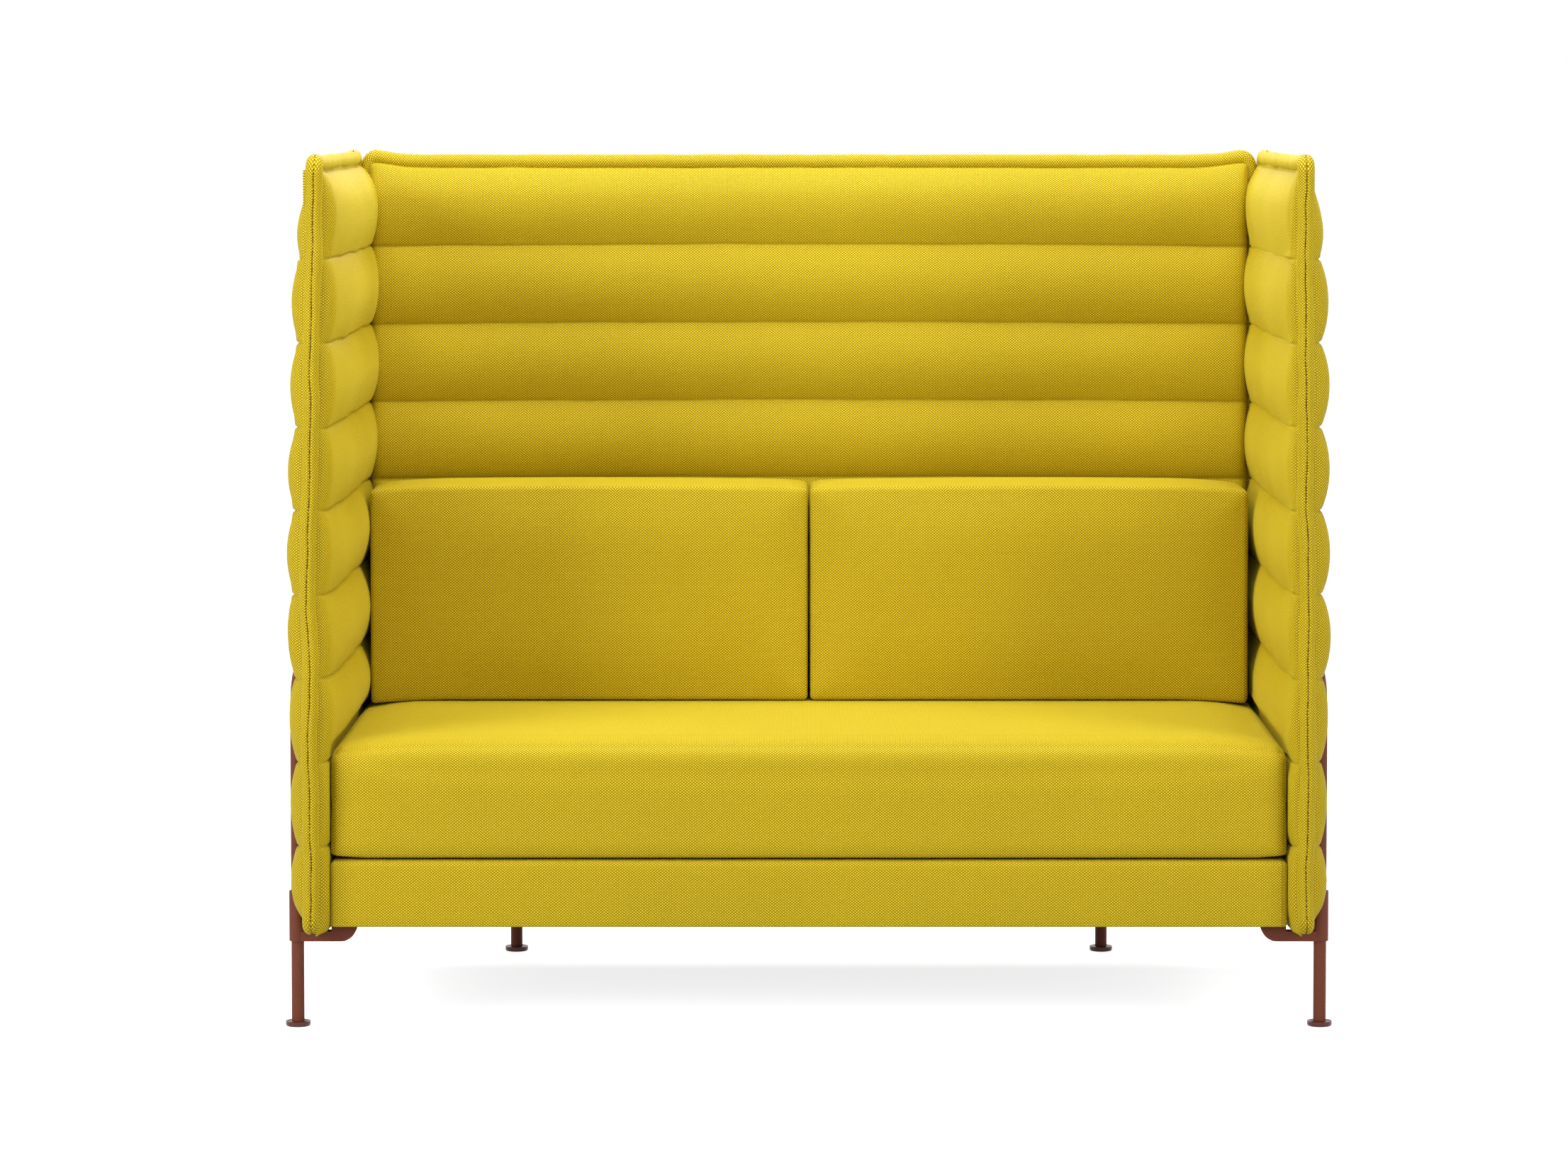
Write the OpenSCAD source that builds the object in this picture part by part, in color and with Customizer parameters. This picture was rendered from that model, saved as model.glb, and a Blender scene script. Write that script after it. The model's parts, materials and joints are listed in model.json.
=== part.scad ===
// High-back two-seat sofa: quilted side and back panels on tube hoops, with a seat between them.
// The origin is on the floor in the middle. +X is to the right, +Y to the back and +Z up, in millimetres.

/* [Overall] */
// Width over the front feet
sofa_w = 1645; // [1500:5:1900]
// Depth from the front hems to the rear feet
sofa_d = 840; // [780:5:900]
// Height to the top of the hems
sofa_h = 1370; // [1250:5:1500]

/* [Panels] */
// Height of the panels' lower hem above the floor
panel_bottom = 151; // [145:1:200]
// Diameter of the rolled hem
hem_d = 26; // [20:1:32]
// Radius of the hem's corners, on its middle line
hem_bend = 14; // [14:1:30]
// Stiff board in the middle of each panel
board_t = 12; // [9:1:15]
// From a panel's middle plane to the crests of its outer channels
outer_crest = 42; // [38:1:50]
// From a panel's middle plane to the crests of its inner channels
inner_crest = 47; // [38:1:54]
// How far a channel's crest rises above its seams
channel_rise = 14; // [8:1:18]
// From a panel's middle plane to a quilt's edge beside the hem
quilt_edge = 12; // [10:1:13]
// Number of sewn channels
channels = 9; // [6:1:12]
// Height of the lowest channel as a share of the quilt
low_channel_share = 0.096; // [0.08:0.002:0.14]
// Height of the top channel as a share of the quilt
top_channel_share = 0.117; // [0.08:0.002:0.14]
// Length over which a quilt swells up from the hem
swell = 55; // [30:1:90]
// Length over which a quilt swells up from the lower hem
low_swell = 33; // [20:1:60]
// Open gap between the back panel's hem and a side panel's hem
corner_gap = 2.5; // [1:0.1:6]

/* [Frame] */
// Outer diameter of the hoop tube
tube_d = 20; // [16:0.5:25]
// Wall of the hoop tube
tube_wall = 2; // [1.5:0.1:3]
// From a panel's middle plane out to the axis of its hoop
hoop_out = 26.5; // [25:0.5:34]
// Radius of the hoops' bends, on the tube's axis
hoop_bend = 60; // [40:1:90]
// Number of channels below the hoops' top runs
hoop_channels = 3; // [2:1:4]
// From the front of the hems back to the front leg's axis
leg_inset = 70; // [50:1:110]
// From the back panel's middle plane forward to the side hoops' rear legs
side_rear_inset = 74; // [60:1:200]
// Distance between the two rear legs
rear_span = 1000; // [700:10:1300]
// Height of the brackets' underside above the floor
bracket_bottom = 135; // [100:1:140]
// Outer diameter of a bracket's sleeve
sleeve_d = 26.4; // [24:0.2:30]
// Height of a bracket's sleeve
sleeve_h = 79; // [50:1:110]
// From the sleeve's axis to the end of the bracket's arm
arm_reach = 94; // [90:1:130]
// Width of the bracket's arm
arm_w = 24; // [20:1:25]
// Radius of the arm's lower end
arm_round = 26; // [18:1:26]

/* [Feet] */
// Diameter of a foot
foot_d = 39; // [34:1:50]
// Height of a foot's disc
foot_h = 8; // [6:0.5:12]
// Radius of the disc's lower edge
foot_edge = 3; // [1:0.5:4]
// Diameter of the threaded stem
stem_d = 7.9; // [6:0.1:9]
// Length of the stem above the disc
stem_l = 26; // [22:1:40]
// Length of the threaded insert in the tube
insert_l = 25; // [20:1:36]

/* [Seat base] */
// From the front of the hems back to the front of the seat
seat_back_from_hem = 35; // [30:1:60]
// From a panel's middle plane to the face of the seat that presses its quilt
press = 27.5; // [22:0.5:30]
// Height of the base's underside above the panels' lower hem
base_rise = 10; // [8:1:20]
// Height of the seat base
base_h = 107; // [90:1:140]
// Thickness of the wooden rails
rail_t = 30; // [20:1:40]
// Thickness of the foam strips round the rails
pad_t = 12; // [8:1:16]
// Radius of the base's lower corners
pad_round = 11; // [6:1:12]
// Distance between the two cross rails
cross_span = 500; // [300:10:700]
// Height of the cross rails
cross_h = 60; // [40:1:80]
// Width of a webbing strap
strap_w = 70; // [40:1:90]
// Thickness of a webbing strap
strap_t = 2; // [1.5:0.5:3]
// Number of webbing straps
straps = 9; // [5:1:13]
// Thickness of the dust cover
dust_t = 1; // [1:0.5:2]

/* [Cushions] */
// Height of the seat cushion
seat_t = 188.4; // [120:0.2:200]
// Radius of the seat cushion's upper front edge
seat_nose = 55; // [30:1:70]
// Radius of the seat cushion's other upper edges
seat_edge = 26; // [10:1:30]
// How far the seat cushion's top rises from its edges
seat_crown = 12; // [4:1:20]
// Height of a back cushion
back_cushion_h = 360; // [280:5:440]
// Depth of a back cushion
back_cushion_t = 185; // [120:1:200]
// Radius of a back cushion's edges
back_edge = 26; // [12:1:40]
// How far a back cushion's faces rise from their edges
back_crown = 10; // [4:1:20]
// How far the cushions' sides draw in between their corners
draw_in = 3; // [0:0.5:6]
// From a side panel's crest to the back cushion beside it
cushion_side_gap = 3.5; // [1:0.5:20]
// Gap between the two back cushions
cushion_middle_gap = 1.6; // [0.6:0.1:10]

/* [Zips] */
// Width of the zip's teeth
teeth_w = 6; // [4:0.5:7]
// Thickness of the zip's teeth
teeth_t = 2.5; // [2:0.1:3]
// Thickness of the zip's tape
tape_t = 0.8; // [0.5:0.1:1.2]
// From the end of the hem's straight run to the end of the zip
zip_end = 12; // [5:1:40]
// Height of the zip's slider
slider_h = 14; // [10:1:18]
// Wall of the zip's slider
slider_wall = 1.5; // [1.2:0.1:2]
// Length of the slider's pull
pull_l = 28; // [20:1:40]

/* [Fasteners] */
// Diameter of the bolts that hold the panels
bolt_d = 8; // [6:1:10]
// Diameter of the screws that hold the brackets
screw_d = 5; // [4:0.5:6]

/* [Hidden] */
$fn = 48;

// Gap between pieces that lie against each other
fit = 0.3;
// Radial gap of a piece that slides or is pressed into a bore
bore_fit = 0.05;
// Overrun of a cut past the face that it opens
over = 5;
// Steps of a quilt's swollen edge, and how far it runs past the crests
swell_steps = 8;
swell_past = 1;
// Facets of the circle that a channel's arc is part of
arc_facets = 120;
// Steps of the groove's bends
bend_steps = 16;
// Bolt and screw proportions
bolt_head_d = 14;
bolt_head_h = 4.4;
screw_head_d = 8.5;
screw_head_h = 5;
screw_l = 30;
screw_gap = 12;
// From the base's edge to the screws in the rail above the arm
screw_inset = 18;
// Height of the disc's collar above its dished top
foot_dish = 1;
// Plug that closes the rear end of a side hoop
plug_l = 12;
// Lower edges of the cushions
cushion_low_edge = 8;
// Radii of the cushions' corners, seen along their thickness
seat_corner = 22;
back_cushion_corner = 28;
// Points round a cushion: along each corner, each long side and each short side
corner_steps = 5;
long_steps = 10;
short_steps = 6;
// Degrees between the rings of a cushion's lower and upper edge
low_step = 30;
high_step = 15;
// Where a cushion's crown has its rings, from its edge to its middle
crown_shares = [0.1, 0.22, 0.36, 0.52, 0.7, 0.88];
// Power of the crown's curve: higher is steeper at the edge
crown_power = 2.4;
// Thickness and width of a slider's pull, and its hole
pull_t = 1.6;
pull_w = 8;
pull_hole_d = 4;

// Middle planes of the panels
hem_r = hem_d / 2;
side_x = sofa_w / 2 - foot_d / 2 - hoop_out;
back_y = sofa_d / 2 - foot_d / 2 - hoop_out;
front_y = -sofa_d / 2;
leg_x = side_x + hoop_out;
rear_leg_y = back_y + hoop_out;
front_leg_y = front_y + leg_inset;

// Middle line of the hems
hem_low = panel_bottom + hem_r;
hem_high = sofa_h - hem_r;
hem_mid_z = (hem_low + hem_high) / 2;
side_hem_l = back_y - (front_y + hem_r);
side_mid_y = (back_y + front_y + hem_r) / 2;
back_hem_x = side_x - hem_d - corner_gap;

// Boards and quilts end beside the hem
beside_hem = hem_r + fit;
quilt_low = hem_low + beside_hem;
quilt_high = hem_high - beside_hem;
quilt_h = quilt_high - quilt_low;
side_quilt_l = side_hem_l - 2 * beside_hem;
back_quilt_l = 2 * (back_hem_x - beside_hem);
low_channel = quilt_h * low_channel_share;
top_channel = quilt_h * top_channel_share;
mid_channel = (quilt_h - low_channel - top_channel) / (channels - 2);
quilt_face = board_t / 2;

// Height of a seam above the quilt's lower edge, counted from that edge
function seam(i) = i == 0 ? 0 : i == channels ? quilt_h : low_channel + (i - 1) * mid_channel;

// Seat base
base_x = side_x - press;
base_y = back_y - press;
base_front = front_y + seat_back_from_hem;
base_bottom = panel_bottom + base_rise;
base_top = base_bottom + base_h;
rail_x = base_x - pad_t;
rail_y = base_y - pad_t;
rail_front = base_front + pad_t;
rail_low = base_bottom + dust_t;
rail_top = base_top - strap_t;
rail_h = rail_top - rail_low;
bolt_z = (rail_low + rail_top) / 2;
bolt_end = side_x - base_x + rail_t + pad_t;

// Hoops
tube_r = tube_d / 2;
sleeve_r = sleeve_d / 2;
hoop_top = quilt_low + seam(hoop_channels);
tube_low = foot_h + fit;
side_rear_y = back_y - side_rear_inset;
side_hoop_l = side_rear_y - front_leg_y;
sleeve_top = bracket_bottom + sleeve_h;

// Seat cushion and back cushions
seat_low = base_top + fit;
seat_top = seat_low + seat_t;
cushion_low = seat_top + fit;
cushion_rear = back_y - inner_crest - fit;
cushion_x = side_x - inner_crest - cushion_side_gap;
cushion_w = cushion_x - cushion_middle_gap / 2;

// Zips
zip_x = (side_x + back_hem_x) / 2;
zip_low = quilt_low + zip_end;
zip_high = quilt_high - zip_end;
tape_y = back_y + hem_r;
teeth_y = tape_y + tape_t;
slider_w = teeth_w + 2 * (slider_wall + fit);
slider_d = teeth_t + fit + slider_wall;

// Hoops: straight tube, tube bend and the inverted U that they make up

module tube_ring() {
    difference() {
        circle(r = tube_r);
        circle(r = tube_r - tube_wall);
    }
}

// An upright, a bend at its top and half of the top run, from x = 0 towards +X
module half_hoop(low, half_run) {
    translate([0, 0, low]) linear_extrude(hoop_top - hoop_bend - low) tube_ring();
    translate([hoop_bend, 0, hoop_top - hoop_bend]) rotate([90, 0, 0])
        rotate_extrude(angle = 90, start = 90) translate([hoop_bend, 0]) tube_ring();
    translate([hoop_bend, 0, hoop_top]) rotate([0, 90, 0])
        linear_extrude(half_run - hoop_bend) tube_ring();
}

module hoop(low, far_low, run) {
    half_hoop(low, run / 2);
    translate([run, 0, 0]) mirror([1, 0, 0]) half_hoop(far_low, run / 2);
}

module side_hoop(side) {
    color("#6e3b30") translate([side * leg_x, front_leg_y, 0]) rotate([0, 0, 90])
        hoop(tube_low, bracket_bottom, side_hoop_l);
}

module back_hoop() {
    color("#6e3b30") translate([-rear_span / 2, rear_leg_y, 0]) hoop(tube_low, tube_low, rear_span);
}

// Brackets: a sleeve round the tube and an arm under the panel, towards local +X

module arm_outline() {
    under_hem = panel_bottom - fit - bracket_bottom;
    under_base = base_bottom - bracket_bottom;
    to_base = hoop_out + press;
    square([to_base + fit, under_hem]);
    translate([to_base, 0]) square([arm_reach - arm_round - to_base, under_base]);
    intersection() {
        translate([arm_reach - arm_round, under_base]) circle(r = arm_round);
        translate([arm_reach - arm_round, 0]) square([arm_round, under_base]);
    }
}

module screw_places() {
    for (s = [-1, 1]) translate([hoop_out + press + screw_inset, s * screw_gap / 2, bracket_bottom])
        children();
}

module bracket() {
    difference() {
        union() {
            translate([0, 0, bracket_bottom]) cylinder(h = sleeve_h, r = sleeve_r);
            translate([0, arm_w / 2, bracket_bottom]) rotate([90, 0, 0])
                linear_extrude(arm_w) arm_outline();
        }
        translate([0, 0, bracket_bottom - over])
            cylinder(h = sleeve_h + 2 * over, r = tube_r + bore_fit);
        screw_places() translate([0, 0, -over])
            cylinder(h = base_bottom - bracket_bottom + 2 * over, r = screw_d / 2 + bore_fit);
        screw_places() translate([0, 0, -over])
            cylinder(h = over + screw_head_h, r = screw_head_d / 2 + bore_fit);
    }
}

module at_front(side) {
    translate([side * leg_x, front_leg_y, 0]) rotate([0, 0, side > 0 ? 180 : 0]) children();
}

module at_side(side) {
    translate([side * leg_x, side_rear_y, 0]) rotate([0, 0, side > 0 ? 180 : 0]) children();
}

module at_rear(side) {
    translate([side * rear_span / 2, rear_leg_y, 0]) rotate([0, 0, -90]) children();
}

module bracket_colour() {
    color("#6e3b30") children();
}

module bracket_screws() {
    color("dimgray") for (s = [-1, 1]) {
        at_front(s) screws();
        at_side(s) screws();
        at_rear(s) screws();
    }
}

module screws() {
    screw_places() {
        cylinder(h = screw_head_h, r = screw_head_d / 2);
        cylinder(h = screw_head_h + screw_l, r = screw_d / 2);
    }
}

module screw_holes() {
    for (s = [-1, 1]) {
        at_front(s) screw_hole_pair();
        at_side(s) screw_hole_pair();
        at_rear(s) screw_hole_pair();
    }
}

module screw_hole_pair() {
    screw_places() translate([0, 0, screw_head_h])
        cylinder(h = screw_l + fit, r = screw_d / 2 + bore_fit);
}

// Feet: a thin disc with a rounded lower edge, on a stem in the tube's insert

module foot() {
    disc_r = foot_d / 2;
    color("#5f3026") {
        rotate_extrude() difference() {
            union() {
                square([disc_r - foot_edge, foot_h]);
                translate([0, foot_edge]) square([disc_r, foot_h - foot_edge]);
                translate([disc_r - foot_edge, foot_edge]) circle(r = foot_edge);
            }
            polygon([
                [tube_r, foot_h + over], [tube_r, foot_h], [(tube_r + disc_r) / 2, foot_h - foot_dish],
                [disc_r, foot_h], [disc_r, foot_h + over]
            ]);
            translate([-disc_r, 0]) square([disc_r, foot_h]);
        }
        translate([0, 0, foot_h / 2]) cylinder(h = foot_h / 2 + stem_l, r = stem_d / 2);
    }
}

module at_front_foot(side) {
    translate([side * leg_x, front_leg_y, 0]) children();
}

module at_rear_foot(side) {
    translate([side * rear_span / 2, rear_leg_y, 0]) children();
}

module foot_insert() {
    difference() {
        translate([0, 0, tube_low]) cylinder(h = insert_l, r = tube_r - tube_wall - bore_fit);
        translate([0, 0, tube_low - over])
            cylinder(h = insert_l + 2 * over, r = stem_d / 2 + bore_fit);
    }
}

module foot_inserts() {
    color("silver") for (s = [-1, 1]) {
        at_front_foot(s) foot_insert();
        at_rear_foot(s) foot_insert();
    }
}

module hoop_plugs() {
    color("black") for (s = [-1, 1]) translate([s * leg_x, side_rear_y, bracket_bottom])
        cylinder(h = plug_l, r = tube_r - tube_wall - bore_fit);
}

// Seat base: rails, webbing, foam strips and dust cover

module block(low, high) {
    translate(low) cube(high - low);
}

// Bolts that hold the panels, each from inside its rail outwards along local +X

module panel_bolt(r, head_r) {
    rotate([0, 90, 0]) cylinder(h = bolt_end, r = r);
    translate([-bolt_head_h, 0, 0]) rotate([0, 90, 0]) cylinder(h = bolt_head_h, r = head_r);
}

module side_bolt_places() {
    third = (rail_y - rail_front) / 3;
    for (s = [-1, 1], i = [-1, 0, 1])
        translate([s * (rail_x - rail_t), (rail_front + rail_y) / 2 + i * third, bolt_z])
            rotate([0, 0, s > 0 ? 0 : 180]) children();
}

module back_bolt_places() {
    fifth = rail_x / 5;
    for (s = [-1, 1], i = [1, 3]) translate([s * i * fifth, rail_y - rail_t, bolt_z])
        rotate([0, 0, 90]) children();
}

module panel_bolts() {
    color("dimgray") {
        side_bolt_places() panel_bolt(bolt_d / 2, bolt_head_d / 2);
        back_bolt_places() panel_bolt(bolt_d / 2, bolt_head_d / 2);
    }
}

module side_bolt_holes() {
    side_bolt_places() panel_bolt(bolt_d / 2 + bore_fit, bolt_head_d / 2 + fit);
}

module back_bolt_holes() {
    back_bolt_places() panel_bolt(bolt_d / 2 + bore_fit, bolt_head_d / 2 + fit);
}

module base_front_rail() {
    color("burlywood") block([rail_t - rail_x, rail_front, rail_low],
        [rail_x - rail_t, rail_front + rail_t, rail_top]);
}

module base_rear_rail() {
    color("burlywood") difference() {
        block([rail_t - rail_x, rail_y - rail_t, rail_low], [rail_x - rail_t, rail_y, rail_top]);
        back_bolt_holes();
        screw_holes();
    }
}

module base_side_rails() {
    color("burlywood") difference() {
        for (s = [-1, 1]) translate([s * (rail_x - rail_t / 2), 0, 0])
            block([-rail_t / 2, rail_front, rail_low], [rail_t / 2, rail_y, rail_top]);
        side_bolt_holes();
        screw_holes();
    }
}

module base_cross_rails() {
    color("burlywood") for (s = [-1, 1]) translate([s * cross_span / 2, 0, rail_top - cross_h])
        block([-rail_t / 2, rail_front + rail_t, 0], [rail_t / 2, rail_y - rail_t, cross_h]);
}

module seat_webbing() {
    room = 2 * (rail_x - rail_t);
    step = room / straps;
    color("dimgray") for (i = [0:straps - 1])
        translate([(i + 1 / 2) * step - room / 2, 0, rail_top])
            block([-strap_w / 2, rail_front, 0], [strap_w / 2, rail_y, strap_t]);
}

// A strip with both lower corners rounded, w wide and base_h high, standing on local y = 0
module strip_outline(w) {
    translate([-w / 2, pad_round]) square([w, base_h - pad_round]);
    translate([pad_round - w / 2, 0]) square([w - 2 * pad_round, base_h]);
    for (s = [-1, 1]) translate([s * (w / 2 - pad_round), pad_round]) circle(r = pad_round);
}

module base_front_pad() {
    color("#cfb51c") translate([0, rail_front, base_bottom]) rotate([90, 0, 0])
        linear_extrude(pad_t) strip_outline(2 * base_x);
}

// Strips along the base's sides, rounded below like the front strip's ends
module base_side_pads() {
    color("#cfb51c") difference() {
        intersection() {
            translate([0, rail_y, base_bottom]) rotate([90, 0, 0])
                linear_extrude(rail_y - rail_front) strip_outline(2 * base_x);
            for (s = [-1, 1]) translate([s * (rail_x + pad_t / 2), 0, base_bottom])
                block([-pad_t / 2, rail_front, 0], [pad_t / 2, rail_y, base_h]);
        }
        side_bolt_holes();
    }
}

module base_rear_pad() {
    color("#cfb51c") difference() {
        translate([0, base_y, base_bottom]) rotate([90, 0, 0])
            linear_extrude(pad_t) strip_outline(2 * base_x);
        back_bolt_holes();
        screw_holes();
    }
}

module base_dust_cover() {
    color("#2b2b2b") difference() {
        block([-rail_x, rail_front, base_bottom], [rail_x, rail_y, base_bottom + dust_t]);
        screw_holes();
    }
}

// Panels lie in local X (along) and Y (up), with local Z out of the face

module on_side(side, face) {
    translate([side * side_x, side_mid_y, hem_mid_z])
        rotate([90, 0, side * face > 0 ? 90 : -90]) children();
}

module on_back(face) {
    translate([0, back_y, hem_mid_z]) rotate([90, 0, face > 0 ? 180 : 0]) children();
}

// Hem: a roll along a rectangle with bent corners, l by h on its middle line

module hem(l, h) {
    run = l - 2 * hem_bend;
    rise = h - 2 * hem_bend;
    for (s = [-1, 1]) {
        translate([-run / 2, s * h / 2, 0]) rotate([0, 90, 0]) cylinder(h = run, r = hem_r);
        translate([s * l / 2, rise / 2, 0]) rotate([90, 0, 0]) cylinder(h = rise, r = hem_r);
    }
    for (i = [0:3]) {
        corner = [i == 0 || i == 3 ? run / 2 : -run / 2, i < 2 ? rise / 2 : -rise / 2, 0];
        translate(corner) rotate([0, 0, 90 * i])
            rotate_extrude(angle = 90) translate([hem_bend, 0]) circle(r = hem_r);
    }
}

module side_hem(side) {
    color("#d8c020") on_side(side, 1) hem(side_hem_l, hem_high - hem_low);
}

module back_hem() {
    color("#d8c020") on_back(1) hem(2 * back_hem_x, hem_high - hem_low);
}

module side_board(side) {
    color("tan") difference() {
        on_side(side, 1) translate([-side_quilt_l / 2, -quilt_h / 2, -board_t / 2])
            cube([side_quilt_l, quilt_h, board_t]);
        side_bolt_holes();
    }
}

module back_board() {
    color("tan") difference() {
        on_back(1) translate([-back_quilt_l / 2, -quilt_h / 2, -board_t / 2])
            cube([back_quilt_l, quilt_h, board_t]);
        back_bolt_holes();
    }
}

// One channel between two seams as its section, an arc that is high at its middle
module channel_section(low, high, top) {
    half = (high - low) / 2;
    r = (half * half + channel_rise * channel_rise) / (2 * channel_rise);
    intersection() {
        translate([(low + high) / 2, top - r]) circle(r = r, $fn = arc_facets);
        translate([low, 0]) square([high - low, top + over]);
    }
}

// A quilt swells along an ellipse from its edges to just above the crests
module swell_outline(l, near_swell, far_swell, top) {
    low = quilt_edge - quilt_face;
    rise = top + swell_past - low;
    turns = [for (i = [0:swell_steps]) 90 * i / swell_steps];
    near = [for (a = turns) [near_swell * (1 - cos(a)) - l / 2, low + rise * sin(a)]];
    far = [for (a = turns) [l / 2 - far_swell * (1 - cos(a)), low + rise * sin(a)]];
    polygon(concat([[-l / 2, 0]], near, [for (i = [swell_steps:-1:0]) far[i]], [[l / 2, 0]]));
}

// A quilt lies on the board's face at local z = quilt_face, with its crests at a distance from the
// panel's middle plane
module quilt(l, crest) {
    top = crest - quilt_face;
    translate([0, 0, quilt_face]) intersection() {
        translate([-l / 2, -quilt_h / 2, 0]) rotate([90, 0, 90]) linear_extrude(l)
            for (i = [0:channels - 1]) channel_section(seam(i), seam(i + 1), top);
        translate([0, quilt_h / 2, 0]) rotate([90, 0, 0]) linear_extrude(quilt_h)
            swell_outline(l, swell, swell, top);
        translate([-l / 2, 0, 0]) rotate([90, 0, 90]) linear_extrude(l)
            swell_outline(quilt_h, low_swell, swell, top);
    }
}

// A hoop's outline at a distance out from the tube's axis, over uprights at first_x and first_x + run
function hoop_line(first_x, run, out, low, high) =
    let (r = hoop_bend + out, z = high - hoop_bend, far_x = first_x + run)
    concat(
        [[first_x - out, low]],
        [for (i = [0:bend_steps]) let (a = 180 - 90 * i / bend_steps)
            [first_x + hoop_bend + r * cos(a), z + r * sin(a)]],
        [for (i = [0:bend_steps]) let (a = 90 - 90 * i / bend_steps)
            [far_x - hoop_bend + r * cos(a), z + r * sin(a)]],
        [[far_x + out, low]]
    );

// The band that a hoop presses into an outer quilt, and the pockets of its two sleeves
module hoop_groove(first_x, run) {
    half = tube_r + fit;
    wide = sleeve_r + fit;
    low = panel_bottom - hem_mid_z - over;
    high = hoop_top - hem_mid_z;
    outer = hoop_line(first_x, run, half, low, high);
    inner = hoop_line(first_x, run, -half, low, high);
    translate([0, 0, hoop_out - half]) linear_extrude(outer_crest)
        polygon(concat(outer, [for (i = [len(inner) - 1:-1:0]) inner[i]]));
    translate([0, 0, hoop_out - wide]) linear_extrude(outer_crest)
        for (x = [first_x, first_x + run]) translate([x - wide, low])
            square([2 * wide, sleeve_top + fit - hem_mid_z - low]);
}

module side_outer_quilt(side) {
    color("#e0c92a") on_side(side, 1) difference() {
        quilt(side_quilt_l, outer_crest);
        hoop_groove(side > 0 ? front_leg_y - side_mid_y : side_mid_y - side_rear_y, side_hoop_l);
    }
}

module back_outer_quilt() {
    color("#e0c92a") on_back(1) difference() {
        quilt(back_quilt_l, outer_crest);
        hoop_groove(-rear_span / 2, rear_span);
    }
}

// The seat base and seat cushion press the inner quilts flat up to the cushion's top
module press_block() {
    block([-base_x - fit, front_y, 0], [base_x + fit, base_y + fit, seat_top + fit]);
}

module side_inner_quilt(side) {
    color("#e0c92a") difference() {
        on_side(side, -1) quilt(side_quilt_l, inner_crest);
        press_block();
        side_bolt_holes();
    }
}

module back_inner_quilt() {
    color("#e0c92a") difference() {
        on_back(-1) quilt(back_quilt_l, inner_crest);
        press_block();
        back_bolt_holes();
    }
}

// Zips: tape over both hems, teeth along its middle, and a slider that wraps the teeth

module corner_zip(side) {
    color("#3a3a3a") translate([side * zip_x, 0, 0]) {
        half_tape = (side_x - back_hem_x) / 2;
        block([-half_tape, tape_y, zip_low], [half_tape, teeth_y, zip_high]);
        block([-teeth_w / 2, teeth_y, zip_low], [teeth_w / 2, teeth_y + teeth_t, zip_high]);
    }
}

module zip_slider(side) {
    channel_w = teeth_w + 2 * fit;
    gap_y = teeth_y + fit;
    rear = gap_y + slider_d;
    low = zip_high - slider_h;
    color("silver") translate([side * zip_x, 0, 0]) {
        difference() {
            block([-slider_w / 2, gap_y, low], [slider_w / 2, rear, zip_high]);
            block([-channel_w / 2, gap_y - over, low - over],
                [channel_w / 2, teeth_y + teeth_t + fit, zip_high + over]);
        }
        difference() {
            block([-pull_w / 2, rear, low - pull_l + slider_h / 2],
                [pull_w / 2, rear + pull_t, low + slider_h / 2]);
            translate([0, rear - over, low - pull_l + slider_h / 2 + pull_w / 2])
                rotate([-90, 0, 0]) cylinder(h = pull_t + 2 * over, r = pull_hole_d / 2);
        }
    }
}

// Cushions: rings stacked along local Z, each a rounded rectangle that is inset more towards
// the faces, with a crown that rises from the edges

// Inset of a rounded edge of radius r at a distance down from its face
function edge_inset(r, down) = down >= r ? 0 : r - sqrt(r * r - (r - down) * (r - down));

// Points between two corners of a ring
function between(p, q, n) = [for (i = [1:n - 1]) p + (q - p) * i / n];

// One rounded corner of a ring, turning from angle start
function corner_points(c, r, start) =
    [for (i = [0:corner_steps]) let (a = start + 90 * i / corner_steps) c + r * [cos(a), sin(a)]];

// A ring from x0 to x1 and y0 to y1 with corners of radius r
function ring_2d(x0, x1, y0, y1, r) =
    let (
        a = corner_points([x1 - r, y1 - r], r, 0),
        b = corner_points([x0 + r, y1 - r], r, 90),
        c = corner_points([x0 + r, y0 + r], r, 180),
        d = corner_points([x1 - r, y0 + r], r, 270)
    )
    concat(a, between(a[corner_steps], b[0], long_steps), b, between(b[corner_steps], c[0], short_steps),
        c, between(c[corner_steps], d[0], long_steps), d, between(d[corner_steps], a[0], short_steps));

// A point drawn in towards the middle, most at the middle of each side
function drawn(p, hw, hd) =
    let (u = p[0] / hw, v = p[1] / hd, s = draw_in)
    [p[0] - s * u * abs(u) * (1 - v * v), p[1] - s * v * abs(v) * (1 - u * u)];

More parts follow.
